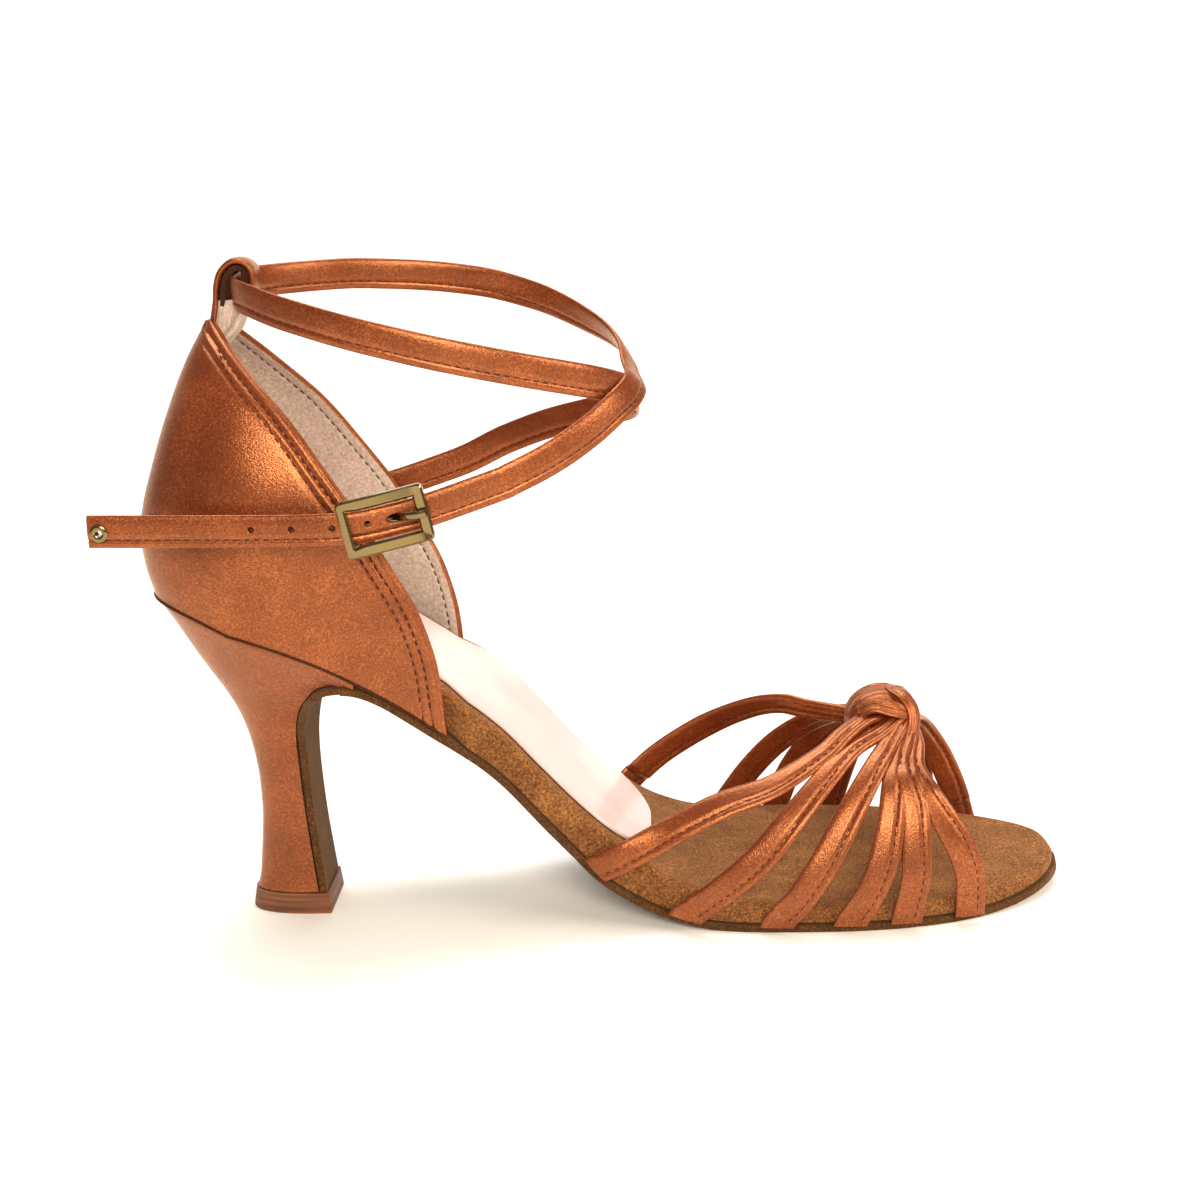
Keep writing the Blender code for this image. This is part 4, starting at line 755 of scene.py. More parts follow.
def lift_rubber(name):
    """Stacked heel lift: dense rubber with a sanded side, in layers of about 1 mm."""
    look, tree = new_material(name)
    place = node(tree, "ShaderNodeTexCoord").outputs["Object"]
    level = node(tree, "ShaderNodeMapping", Vector=place, Scale=(60.0, 60.0, 900.0)).outputs["Vector"]
    layers = node(tree, "ShaderNodeTexNoise", Vector=level, Scale=1.0, Detail=3.0)
    colour = node(tree, "ShaderNodeValToRGB", stops=((0.35, "#552E16"), (0.55, "#784523"), (0.7, "#955A30")),
                  Fac=layers.outputs["Fac"])
    bump = node(tree, "ShaderNodeBump", Height=layers.outputs["Fac"], Strength=0.2, Distance=0.0003)
    shader = node(tree, "ShaderNodeBsdfPrincipled", Base_Color=colour.outputs["Color"],
                  Normal=bump.outputs[0], Roughness=0.55)
    node(tree, "ShaderNodeOutputMaterial", Surface=shader.outputs[0])
    return look


def thread(name, colour):
    """Twisted polyester sewing thread: a dull gleam, with the twist of 0.5 mm as bump."""
    look, tree = new_material(name)
    place = node(tree, "ShaderNodeTexCoord").outputs["Object"]
    twist = node(tree, "ShaderNodeTexNoise", Vector=place, Scale=1000.0 / 0.5, Detail=1.0)
    bump = node(tree, "ShaderNodeBump", Height=twist.outputs["Fac"], Strength=0.3, Distance=0.0001)
    shader = node(tree, "ShaderNodeBsdfPrincipled", Normal=bump.outputs[0], Base_Color=linear(colour),
                  Roughness=0.7, Specular_IOR_Level=0.2)
    node(tree, "ShaderNodeOutputMaterial", Surface=shader.outputs[0])
    return look


# Pieces


def build_outsole(look):
    """The sole: a slab that follows the underside, thick along its normal, narrow on the heel breast, and
    trimmed back to the board in front."""
    line, normal = underside(420)
    keep = line[:, 0] < LENGTH - SOLE_TRIM + 0.05
    line, normal = line[keep], normal[keep]
    x = line[:, 0]
    toe = toe_share(x)
    trim = 0.6 * SOLE_TRIM * strap_share(x) * (1 - toe)
    table = columns(FLAP)
    on_heel = np.arange(len(x)) < int(np.argmax(line[:, 1]))
    flap = through(table["z"], table["half"], line[:, 1] / SEAT_RISE) * BALL
    outer, inner = (
        np.maximum(np.where(on_heel, np.minimum(half - trim, flap), half - trim), 1.2)
        for half in outline(x + SOLE_TRIM * toe)
    )
    y, h = slab(outer, inner, 0.0, SOLE_THICK, 0.35, 0.35)
    points = np.stack([x[:, None] + h * normal[:, :1], y, line[:, 1:] + h * normal[:, 1:]], axis=-1)
    # The sole's suede is dark: its own brown, plus painted shade on its thin edge.
    surface("outsole_suede", points, [look], "outsole", ring=True, ends="flat")


def board_sides(x):
    """Half widths of the board: inside the closed back, flush in the arch, set in where straps pass."""
    toe = TOE_CLOSES * toe_share(x, 0.238)
    seat = 1 - np.clip((x - SEAM_END) / 5, 0, 1)
    inset = 0.2 + seat * (WALL + GAP + 1.1) + strap_share(x) * (1 - toe / TOE_CLOSES)
    back = round_end(1 - (x / LENGTH - 0.02) / 0.132, 2.4)
    return tuple(
        np.maximum((half - inset) * back, 0.8) for half in outline(np.clip(x + toe, 0.16 * LENGTH, LENGTH))
    )


def bank(x, y, inner):
    """How far the board rises towards its inner edge in the arch: a share of the cube of the way
    across."""
    along = np.interp(x / LENGTH, (0.15, 0.24, 0.38, 0.46), (0, 1, 1, 0))
    return ARCH_BANK * along[:, None] * np.clip(y / inner[:, None], 0, 1) ** 3


def build_insole(look):
    """The board: a slab from the seam or the sole up to the foot, with rounded upper edges."""
    back = 0.0236 * LENGTH
    front = LENGTH - 2.42
    share = np.linspace(0, 1, 300)
    x = back + (front - back) * (0.5 - 0.5 * np.cos(math.pi * (0.25 * share**3 + 0.75 * share)))
    x = np.clip(x, back, front)
    top = board_height(x)
    low = np.where(x < SEAM_END, seam(x), 0.0)
    low = np.where(x > 0.209 * LENGTH, np.maximum(low, sole_top(x, SOLE_THICK + GAP)), low)
    outer, inner = board_sides(x)
    soft = np.minimum(np.minimum(2.4, 0.4 * (top - low)), 0.6 * np.minimum(outer, inner))
    top = low + (top - low) * (0.4 + 0.6 * round_end((x - front + 2.4) / 2.4))
    y, h = slab(outer, inner, low, top, np.minimum(0.6, 0.6 * soft), soft)
    h = h + bank(x, y, inner) * np.clip((h - low[:, None]) / (top - low)[:, None], 0, 1)
    points = np.stack([x[:, None] + 0 * y, y, h], axis=-1)
    surface("insole_suede", points, [look], "insole", ring=True, ends="flat")


def build_sock(look):
    """The sock: a thin lining glued to the board, with a round seat and a round front end."""
    back = 0.0273 * LENGTH
    front = 0.5341 * LENGTH
    round_long = 0.055 * LENGTH
    x = back + (front - back) * (0.5 - 0.5 * np.cos(math.pi * np.linspace(0, 1, 200)))
    slope = (board_height(x + 1) - board_height(x - 1)) / 2
    lean = unit(np.column_stack([-slope, np.ones(len(x))]))
    outer, wide = board_sides(x)
    end = round_end((x - front + round_long) / (round_long + 0.6), 2.2)
    end = end * round_end(1 - (x / LENGTH - 0.018) / 0.118, 2.4)
    far = INSET + FAR_INSET * np.interp(x / LENGTH, (0.15, 0.24, 0.34, 0.42), (0, 1, 1, 0))
    outer, inner = (np.maximum((half - bare) * end, 1.0) for half, bare in ((outer, INSET), (wide, far)))
    y, h = slab(outer, inner, GAP, SOCK_THICK, 0.2, 0.5)
    z = board_height(x)[:, None] + h * lean[:, 1:] + bank(x, y, wide)
    points = np.stack([x[:, None] + h * lean[:, :1], y, z], axis=-1)
    surface("sock_leather", points, [look], "sock", ring=True, ends="flat")


def heel_section(bx, bz, fx, fz, half, power, fall, lift, turn):
    """Round at the back, straight across the front: x = fx - (fx - bx) cos(a)^(2/p), y = half sin(a)^(2/p),
    and z falls from bz to fz as the share of the way to the front to the power fall."""
    a = np.abs(turn) * math.pi / 2
    x = fx - (fx - bx) * np.cos(a) ** (2 / power)
    y = np.sign(turn) * half * np.sin(a) ** (2 / power)
    s = np.clip((x - bx) / (fx - bx), 0, 1)
    return np.stack([x, y, bz + (fz - bz) * s**fall + lift * seam_lift(x)], axis=-1)


def heel_turns(count):
    """Places round a heel section, closer together at the two front corners."""
    t = np.linspace(-1, 1, count)
    return np.sign(t) * (1 - (1 - np.abs(t)) ** 1.25)


def between(rows, count):
    """Smooth lines through the values of each section, as count rows."""
    index = np.arange(len(rows["bx"]))
    at = np.linspace(0, index[-1], count)
    return {key: through(index, value, at)[:, None] for key, value in rows.items()}


def build_heel(look):
    """The block: the table's sections joined by smooth lines, then one that follows the seam at the
    seat."""
    line, normal = underside(400)
    breast = line + (SOLE_THICK + GAP) * normal
    breast = breast[: int(np.argmax((breast[:, 0] > 51) & (breast[:, 1] > 40))) + 1]
    run = np.r_[0, np.cumsum(np.linalg.norm(np.diff(breast, axis=0), axis=1))]
    table = columns(HEEL)
    front_x, front_z = (np.interp(table["front"] * run[-1], run, breast[:, c]) for c in (0, 1))
    seat_x = breast[-1, 0] + 0.4
    rows = {
        "bx": np.r_[table["x"] * LENGTH, SEAM_START],
        "bz": np.r_[table["z"] * SEAT_RISE, SEAT_RISE + 0.4 - GAP],
        "fx": np.r_[front_x, seat_x],
        "fz": np.r_[np.maximum(front_z, table["z"][0] * SEAT_RISE), float(seam(seat_x)) - GAP],
        "half": np.r_[table["half"], 0.342] * BALL,
        "power": np.r_[table["round"], 2.5],
        "fall": np.r_[table["fall"], SEAM_POWER],
        "lift": np.r_[table["lift"], 1.0],
    }
    points = heel_section(turn=heel_turns(97)[None, :], **between(rows, 150))
    surface("heel_cover", points, [look], "heel", ring=True, ends="strip")


def build_heel_tip(look):
    """The lift: four sections, a hair wider just above the floor."""
    table = columns(HEEL_TIP)
    rows = {
        "bx": table["back"] * LENGTH,
        "bz": table["z"] * TIP_HIGH,
        "fx": table["front"] * LENGTH,
        "fz": table["z"] * TIP_HIGH,
        "half": table["half"] * BALL,
    }
    points = heel_section(power=2.3, fall=1.0, lift=0.0, turn=heel_turns(97)[None, :], **between(rows, 24))
    surface("heel_tip_lift", points, [look], "heel_tip", ring=True, ends="strip")


def quarter_point(v, u):
    """A point of the outer face: v is 0 at the seam and 1 at the top, u is -1 and 1 at the front edges. x
    runs forward as 1 - cos(u), the width is a rounded end, and z falls to the front edge as the seam
    does."""
    table = columns(QUARTER)
    at = {key: through(table["rise"], value, v) for key, value in table.items()}
    bx, fx, bend = (at[key] * LENGTH for key in ("back", "front", "bend"))
    fz = at["low"] * SEAT_RISE
    bz = SEAT_RISE + 0.4 + QUARTER_RISE * v
    d = (fx - bx) * (1 - np.cos(np.abs(u) * math.pi / 2))
    narrow = 1 - at["narrow"] * np.clip((d - bend) / 36, 0, 1)
    wide = at["half"] * BALL * round_end(1 - d / bend, 2.5) * narrow
    s = d / (fx - bx)
    z = bz + (fz - bz) * s**SEAM_POWER + seam_lift(bx + d) * (1 - v) ** 3
    return np.stack([bx + d, np.sign(u) * wide, z], axis=-1)


def grid_normals(points):
    """Unit normals of a grid: the cross product of its differences along and across."""
    return unit(np.cross(np.gradient(points, axis=1), np.gradient(points, axis=0)))


def ridge(distance, place, wide):
    """A smooth bump, exp(-((distance - place) / wide)^2)."""
    return np.exp(-(((distance - place) / wide) ** 2))


def build_seam_shadow_bead(line, facing, look):
    """A thin round dark bead along the seam over the heel: painted shade that stands for the shadow line at
    the seam.
    """
    out, across = directions(line, facing)
    turn = angles(10)[None, :, None]
    bead = line[:, None] + SEAM_SHADOW_BEAD * (out[:, None] * np.sin(turn) + across[:, None] * np.cos(turn))
    surface("quarter_seam_shadow", bead + 0.1 * out[:, None], [look], "quarter", ring=True, ends="flat")


def wall_ends(rows, cols, n, arc):
    """Faces that close the lower and the upper edge of a wall, from its outer face across to the lining:
    each row has n points outside, arc round the edge, n inside and arc round the other edge."""
    outer = np.arange(n - 1)
    across = np.column_stack([outer, outer + 1, 2 * n + arc - 2 - outer, 2 * n + arc - 1 - outer]).tolist()
    across += [list(range(n - 1, n + arc + 1)), [2 * n + arc - 1, *range(2 * n + arc, cols), 0]]
    last = (rows - 1) * cols
    return [face[::-1] for face in across] + [[last + j for j in face] for face in across]


def build_quarter(cover, lining, raw_edge_and_shade, sewing):
    """The closed back: the outer face, the front edge turned over as a half circle, and the lining WALL
    further in. Each row of stitches pulls a groove into its face."""
    half = np.r_[np.linspace(0, 0.085, 34), np.linspace(0.085, 1, 56)[1:]]
    u = np.r_[half - 1, (1 - half[::-1])[1:]]
    v = np.linspace(0, 1, 130)
    outer = quarter_point(*np.broadcast_arrays(v[:, None], u[None, :]))
    normal = grid_normals(outer)
    n = len(u)
    centre = n // 2
    if normal[len(v) // 2, centre, 0] > 0:
        normal = -normal
    edges = outer[:, [0, -1]]
    away = np.min([
        np.linalg.norm(outer[:, :, None] - edges[None, None, :, side], axis=-1).min(axis=2)
        for side in (0, 1)
    ], axis=0)
    dents = sum(ridge(away, place, STITCH_GROOVE) for place in QUARTER_SEAMS)
    swell = 0.28 * ridge(away, 1.1, 0.8) + 0.18 * ridge(away, 3.5, 0.7)
    thin = 0.55 * np.exp(-away / 0.35)
    skin = outer + normal * (swell - 0.34 * dents - thin)[..., None]
    inside = outer - normal * (WALL - 0.22 * ridge(away, LINING_SEAM, 0.4) - thin)[..., None]
    forward = unit(outer[:, [0, -1]] - outer[:, [2, -3]])
    arc = np.linspace(0, math.pi, 11)[1:-1]
    rims = []
    for side, turn in ((-1, arc), (0, arc[::-1])):
        top, bottom = skin[:, side], inside[:, side]
        turn = turn[None, :, None]
        rims.append(((top + bottom) / 2)[:, None] + ((top - bottom) / 2)[:, None] * np.cos(turn)
                    + (forward[:, side] * 0.75)[:, None] * np.sin(turn))
    points = np.concatenate([skin, rims[0], inside[:, ::-1], rims[1]], axis=1)
    cols = points.shape[1]
    pick = np.zeros((len(v) - 1, cols), int)
    pick[:, n + len(arc) : n + len(arc) + n] = (away > FACING)[:-1, ::-1]
    surface("quarter_cover", points, [cover, lining], "quarter", ring=True,
            ends=wall_ends(len(v), cols, n, len(arc)), face_look=pick, sharp=60)
    # painted shade: a dark bead along the seam over the heel
    build_seam_shadow_bead(skin[0], normal[0], raw_edge_and_shade)
    for side, cut, step in (("outer", slice(0, centre), 1), ("inner", slice(centre, None), -1)):
        seams = [(f"quarter_stitches_{side}_{k}", skin, normal, place)
                 for k, place in enumerate(QUARTER_SEAMS, 1)]
        seams.append((f"lining_stitches_{side}", inside, -normal, LINING_SEAM))
        for name, face, facing, place in seams:
            rows = [row_at(field[:, cut][:, ::step], away[:, cut][:, ::step], place)[4:-8]
                    for field in (face, facing)]
            stitch_row(name, *rows, sewing, "quarter")


def row_at(points, away, place):
    """The line of points at one distance from the edge, one for each row of the grid."""
    return np.array([
        [np.interp(place, a[:40], p[:40, c]) for c in range(3)] for p, a in zip(points, away)
    ])


def beside_board(line):
    """The strap line, with its low end moved out where it would run into the edge of the board."""
    top = board_height(line[:, 0]) + 3.0
    side = 0 if line[0, 1] < 0 else 1
    reach = STRAP_WIDE / 2 + 0.1
    near = np.max([board_sides(line[:, 0] + step)[side] for step in (-reach, 0, reach)], axis=0)
    near += GAP + 0.3 + STRAP_THICK / 2
    moved = np.copysign(np.maximum(np.abs(line[:, 1]), near), line[:, 1])
    smooth = np.clip((top - line[:, 2]) / 2.0, 0, 1)
    line[:, 1] = line[:, 1] + (moved - line[:, 1]) * smooth
    return line


def meet_sole(grid, rows=36):
    """The strap's lines cut where they meet the sole: each line of points is slid along itself so that its
    first point lies on the sole, and by less and less over the next rows."""
    floor = sole_top(grid[:, :, 0], SOLE_THICK + 0.05)
    above = grid[:, :, 2] - floor
    first = np.maximum((above > 0).argmax(axis=0), 1)
    k = np.arange(grid.shape[1])
    below = above[first - 1, k]
    cross = first - 1 + np.clip(below / (below - above[first, k] - 1e-9), 0, 1)
    row = np.arange(grid.shape[0])[:, None]
    at = row + cross[None, :] * np.clip(1 - row / rows, 0, 1)
    low = np.clip(at.astype(int), 0, grid.shape[0] - 2)
    share = (at - low)[..., None]
    return grid[low, k] * (1 - share) + grid[low + 1, k] * share


def build_straps(cover, sewing):
    """Twelve rounded straps from under the sole edge to the knot, narrower and pleated where they are
    gathered. A strap's own directions turn from sideways at the sole to upwards at the knot."""
    for side, straps in (("outer", OUTER_STRAPS), ("inner", INNER_STRAPS)):
        seam_side = 1 if side == "outer" else -1
        for number, rows in enumerate(straps, 1):
            rows = np.array(rows) * SIZES
            rows = np.vstack([rows[0] - 4.0 * unit(rows[1] - rows[0]), rows])
            line = beside_board(path(rows, 150))
            line = line[max(int(np.argmax(line[:, 2] > sole_top(line[:, 0], SOLE_THICK))) - 14, 0) :]
            up = line[:, 2] - sole_top(line[:, 0], SOLE_THICK)
            rise = np.clip((line[:, 2] - board_height(line[:, 0])) / 14, 0, 1)
            lean = 0.13 * (line[:, 0] - 0.79 * LENGTH)
            outs = np.column_stack([lean, line[:, 1], rise * (line[:, 2] - 6)])
            if side == "inner":  # these straps stand on edge up to the knot
                outs[:, 1] = np.maximum(outs[:, 1], 12.0)
                outs[:, 2] *= 0.06
            run = np.linspace(0, 1, len(line))
            wides = STRAP_WIDE - 2.6 * np.clip((run - 0.45) / 0.55, 0, 1)
            tuck = np.clip(1 - up / 2.4, 0, 1)
            line[:, 1] -= np.sign(line[:, 1]) * 0.3 * tuck
            thicks = STRAP_THICK * (1 - 0.35 * tuck) + 0.9 * np.clip((run - 0.6) / 0.4, 0, 1)
            pleats = np.clip((run - 0.58) / 0.4, 0, 1) ** 1.5
            grid = meet_sole(band_grid(line, outs, wides, thicks, seam_side, pleats))
            surface(f"strap_{side}_{number}", grid, [cover], "vamp", ring=True, ends="flat")
            out, across = directions(line, outs)
            offset = seam_side * (wides / 2 - STRAP_SEAM)
            high = band_height(offset / (wides / 2), wides, thicks, seam_side, pleats)[:, None]
            row = line + across * offset[:, None] + out * high
            start = int(np.argmax(row[:, 2] > sole_top(row[:, 0], SOLE_THICK) + 0.5))
            seen = slice(start, int(0.86 * len(row)))
            stitch_row(f"strap_stitches_{side}_{number}", row[seen], out[seen], sewing, "vamp")
            if side == "inner":  # the same thread shows on the face towards the foot
                back = line + across * offset[:, None] - out * high
                stitch_row(f"strap_stitches_lining_{number}", back[seen], -out[seen], sewing, "vamp")


def build_knot(cover):
    """Gathered cloth: tubes along the folds' lines, oval across, with lengthwise creases that turn slowly.
    The radius is 1 + 0.09 cos(7 a + 3 s) + 0.05 cos(3 a - 2 s), for a round the tube and s along it."""
    for name, rows in KNOT_FOLDS.items():
        line = path(rows, 90)
        centre = np.array(KNOT_CENTRE) - np.array([0, 0, 20 if name == "knot_core" else 0])
        out, across = directions(line[:, :3], line[:, :3] - centre)
        a = angles(84)[None, :]
        s = np.linspace(0, 1, len(line))[:, None]
        crease = 1 + 0.09 * np.cos(7 * a + 3 * s) + 0.05 * np.cos(3 * a - 2 * s)
        wide = (line[:, 4:5] * np.cos(a) * crease)[..., None]
        high = (line[:, 3:4] * np.sin(a) * crease)[..., None]
        grid = line[:, None, :3] + across[:, None] * wide + out[:, None] * high
        surface(name, grid, [cover], "vamp", ring=True, ends="flat")


def band_line():
    """Middle of the ankle band and its lean: the two turns of the oval, then the free end."""
    table = columns(BAND)
    turn = np.arange(table["turn"][0], table["turn"][-1] + 0.1, 2.0)
    high, out, lean = (through(table["turn"], table[key], turn) for key in ("high", "out", "lean"))
    a = np.radians(turn)
    x = RING_MIDDLE * LENGTH + (RING_LONG + out) * np.cos(a)
    y = -(RING_WIDE + out) * np.sin(a)
    ring = np.column_stack([x, y, high * SEAT_RISE, lean])
    tongue = np.array(TONGUE) * SIZES
    return path(np.vstack([ring, np.column_stack([tongue, np.zeros(len(tongue))])]), 520)


def post(name, x, z, long, wide, tilt, look):
    """A rod across the band, oval in section, that cuts a hole."""
    a = angles(28)
    along = long / 2 * np.cos(a)
    up = wide / 2 * np.sin(a)
    ring = np.column_stack([x + along * math.cos(tilt) - up * math.sin(tilt), 0 * a,
                            z + along * math.sin(tilt) + up * math.cos(tilt)])
    rows = np.array([-37.5, -29.2])[:, None, None] * np.array([0, 1, 0])
    return surface(name, ring[None] + rows, [look], None, ring=True, ends="flat")


def build_ankle_strap(cover, raw_edge_and_shade, sewing):
    """The band: a rounded strip with stitches near its lower edge and punched holes in the free end. It
    faces away from the oval's middle, and straight to the outer side along the free end."""
    rows = band_line()
    lean = np.radians(rows[:, 3:])
    line = rows[:, :3]
    middle = np.array([RING_MIDDLE * LENGTH, 0, 0])
    outs = unit((line - middle) * np.array([1, (RING_LONG / RING_WIDE) ** 2, 0]))
    last = np.linspace(0, 1, len(line)) > 0.72
    mix = np.where(last, np.clip((72 - line[:, 0]) / 12, 0, 1), 0)[:, None]
    outs = outs * (1 - mix) + np.array([0, -1.0, 0]) * mix
    outs = outs * np.cos(lean) + np.sin(lean) * np.array([0, 0, 1.0])
    flat = np.zeros(len(line))
    grid = band_grid(line, outs, flat + BAND_WIDE, flat + BAND_THICK, -1, flat)
    band = surface("ankle_band", grid, [cover, raw_edge_and_shade], "ankle_strap", ring=True, ends="flat")
    tongue = line[line[:, 1] < -28][-200:]
    order = np.argsort(tongue[:, 0])
    # The holes' walls take the dark look: the raw cut edge and painted shade inside the holes.
    tools = [post("prong_hole", *PRONG_HOLE_AT, *PRONG_HOLE, math.radians(BUCKLE_TILT), raw_edge_and_shade),
             post("eyelet_hole", *EYELET_AT[::2], *EYELET_HOLE, 0.0, raw_edge_and_shade)]
    for k, x in enumerate(PINHOLES, 1):
        z = float(np.interp(x, tongue[order, 0], tongue[order, 2])) + 0.5
        tools.append(post(f"pinhole_{k}", x, z, PINHOLE_WIDE, PINHOLE_WIDE, 0.0, raw_edge_and_shade))
    cut_holes(band, tools)
    out, across = directions(line, outs)
    offset = -(BAND_WIDE / 2 - STRAP_SEAM)
    high = float(band_height(offset / (BAND_WIDE / 2), BAND_WIDE, BAND_THICK, -1, 0.0))
    for side, name in ((1, "ankle_stitches_outside"), (-1, "ankle_stitches_inside")):
        stitch_row(name, line + across * offset + out * high * side, out * side, sewing, "ankle_strap")


def build_back_loop(cover, raw_edge_and_shade, lining):
    """The loop: a strip along its path, bent across by bend · y^2 where it lies in the closed back, with a
    dark sheet inside it, painted shade, that reaches to the band. Its front leg ends in the suede lining,
    which also fills its foot."""
    table = columns(LOOP)
    path_rows = [table["x"] * LENGTH, 0 * table["x"], table["z"] * SEAT_RISE, table["bend"], table["fill"]]
    rows = path(np.column_stack(path_rows), 130)
    line = rows[:, :3]
    along = unit(np.gradient(line, axis=0))
    out = np.column_stack([-along[:, 2], 0 * along[:, 0], along[:, 0]])
    turn = angles(44)[None, :]
    s = -squared(np.cos(turn), 0.85)
    flat = np.sign(np.sin(turn + 1e-9)) * np.sqrt(np.clip(1 - s**6, 0, 1))
    foot = np.clip((LOOP_LINED * SEAT_RISE - line[:, 2]) / 0.01, 0, 1)
    front_leg = foot * (np.arange(len(line)) > len(line) // 2)
    for name, look, wide, thick, shift, suede_part in (
        ("back_loop_cover", cover, LOOP_WIDE, LOOP_THICK + 0 * rows[:, 4:], 0.0, front_leg),
        # painted shade: the dark sheet inside the loop, as thick as the table's fill
        ("back_loop_lining_and_shade", raw_edge_and_shade, LOOP_WIDE - 0.8, rows[:, 4:], LOOP_THICK / 2, foot),
    ):
        y = s * wide / 2
        high = flat * thick / 2 * (1 - 0.25 * ridge(np.abs(y), wide / 2 - 1.2, 0.3))
        high = high - shift - thick / 2 * (shift > 0)
        grid = line[:, None] + out[:, None] * high[..., None]
        grid[:, :, 1] += y
        grid[:, :, 0] += rows[:, 3:4] * y**2
        lined = (suede_part[:-1, None] * np.ones(grid.shape[1])).astype(int)
        surface(name, grid, [look, lining], "back_loop", ring=True, ends="flat", face_look=lined)
    middle = len(line) // 2
    z = np.linspace(1.755, LOOP_LINED + 0.015, 24) * SEAT_RISE
    rear, front = (np.interp(z, leg[:, 2], leg[:, 0]) for leg in (line[:middle], line[:middle:-1]))
    a = angles(32)[None, :]
    x = (rear + front)[:, None] / 2 + (front - rear)[:, None] / 2 * squared(np.cos(a), 0.4)
    y = (LOOP_WIDE / 2 - 0.7) * squared(np.sin(a), 0.4) + 0 * x
    x = x + through(table["z"][:7], table["bend"][:7], z / SEAT_RISE)[:, None] * y**2
    grid = np.stack([x, y, z[:, None] + 0 * x], axis=-1)
    surface("back_loop_foot", grid, [lining], "back_loop", ring=True, ends="flat")


def buckle_points(along, up, out):
    """From the buckle's own directions to the shoe: along the band to the front, up, away from the foot."""
    tilt = math.radians(BUCKLE_TILT)
    x = BUCKLE_AT[0] + along * math.cos(tilt) - up * math.sin(tilt)
    z = BUCKLE_AT[1] + along * math.sin(tilt) + up * math.cos(tilt)
    return np.stack(np.broadcast_arrays(x, -np.asarray(out, float), z), axis=-1)


def frame_out(along):
    """How far the frame stands from the middle of the shoe: a straight line with a slight arch."""
    share = along / BUCKLE_LONG + 0.5
    return FRAME_REAR_OUT + (FRAME_FRONT_OUT - FRAME_REAR_OUT) * share + 0.5 * np.sin(math.pi * share)


def build_buckle_frame(look):
    """A frame of flat bar: its corners go round pivot + r · (cos^0.45 b, sin^0.45 b), and the section is a
    rectangle with chamfered edges, wider to the inside except at the rear."""
    long = BUCKLE_LONG / 2 - BUCKLE_CORNER
    high = BUCKLE_HIGH / 2 - BUCKLE_CORNER
    s = np.linspace(0, 1, 14)[1:-1]
    parts = []
    for k, (sx, sz) in enumerate(((1, 1), (-1, 1), (-1, -1), (1, -1))):
        b = np.linspace(0, math.pi / 2, 15) + k * math.pi / 2
        across, up = squared(np.cos(b), 0.45), squared(np.sin(b), 0.45)
        parts.append(np.column_stack([sx * long + BUCKLE_CORNER * across, sz * high + BUCKLE_CORNER * up,
                                      across, up]))
        if k in (0, 2):  # points along the upper and the lower bar, for its arch
            parts.append(np.column_stack([sx * long * (1 - 2 * s), sx * (high + BUCKLE_CORNER) + 0 * s,
                                          0 * s, sx + 0 * s]))
    line = np.vstack(parts)
    flat = BUCKLE_BAR - BUCKLE_BEVEL
    full = BUCKLE_BAR
    section = np.array([(full, -flat), (full, flat), (flat, full), (-flat, full),
                        (-full, flat), (-full, -flat), (-flat, -full), (flat, -full)])
    inward = BUCKLE_INSIDE * np.clip((line[:, :1] / BUCKLE_LONG + 0.5) / 0.2, 0, 1)
    across = section[None, :, 0] - inward * (section[None, :, 0] < 0)
    points = buckle_points(line[:, :1] + across * line[:, 2:3], line[:, 1:2] + across * line[:, 3:],
                           frame_out(line[:, :1]) + section[None, :, 1])
    surface("buckle_frame_bar", points, [look], "buckle_frame", ring=True, loop=True, sharp=25)
    build_hinge_bar(look)


def build_hinge_bar(look):
    """A round bar behind the band between two posts: it goes in, turns by a quarter circle, across and out
    again. The second half is the first one mirrored."""
    wide = BUCKLE_HIGH / 2 - 0.4
    a = np.linspace(0, math.pi / 2, 9)
    up = np.r_[-wide, -wide + HINGE_BEND * (1 - np.cos(a))]
    out = np.r_[FRAME_REAR_OUT - 0.1, HINGE_OUT + HINGE_BEND * (1 - np.sin(a))]
    turn_up = np.r_[0.0, np.sin(a)]
    turn_out = np.r_[-1.0, -np.cos(a)]
    up, out, turn_up, turn_out = (
        np.r_[half, sign * half[::-1]][:, None]
        for half, sign in ((up, -1), (out, 1), (turn_up, 1), (turn_out, -1))
    )
    radius = HINGE_POST + (HINGE_BAR - HINGE_POST) * turn_up
    b = angles(20)[None, :]
    points = buckle_points(-BUCKLE_LONG / 2 + radius * np.cos(b), up - turn_out * radius * np.sin(b),
                           out + turn_up * radius * np.sin(b))
    surface("buckle_hinge_bar", points, [look], "buckle_frame", ring=True, ends="flat")


def buckle_sweep(plan, wide, thick, count):
    """A flat strip that follows a plan of (along, out) pairs, with a rounded section."""
    along = unit(np.gradient(plan, axis=0))
    a = angles(count)[None, :]
    n = thick / 2 * squared(np.cos(a), 0.7)
    up = wide / 2 * squared(np.sin(a), 0.7) + 0 * plan[:, :1]
    return buckle_points(plan[:, :1] - along[:, 1:] * n, up, plan[:, 1:] + along[:, :1] * n)


def build_buckle_prong(look):
    """A pin hooked round the hinge bar, out through the band and over the front bar."""
    rear = -BUCKLE_LONG / 2
    around = HINGE_BAR + HINGE_PLAY + PRONG_THICK / 2
    a = np.radians(np.linspace(-265, -5, 14))
    hook = np.column_stack([rear + around * np.sin(a), HINGE_OUT - around * np.cos(a)])
    plan = path(np.vstack([hook, np.array(PRONG) + np.array([0, HINGE_OUT])]), 90)
    pin = buckle_sweep(plan, PRONG_WIDE, PRONG_THICK, 20)
    surface("buckle_prong_pin", pin, [look], "buckle_prong", ring=True, ends="flat")


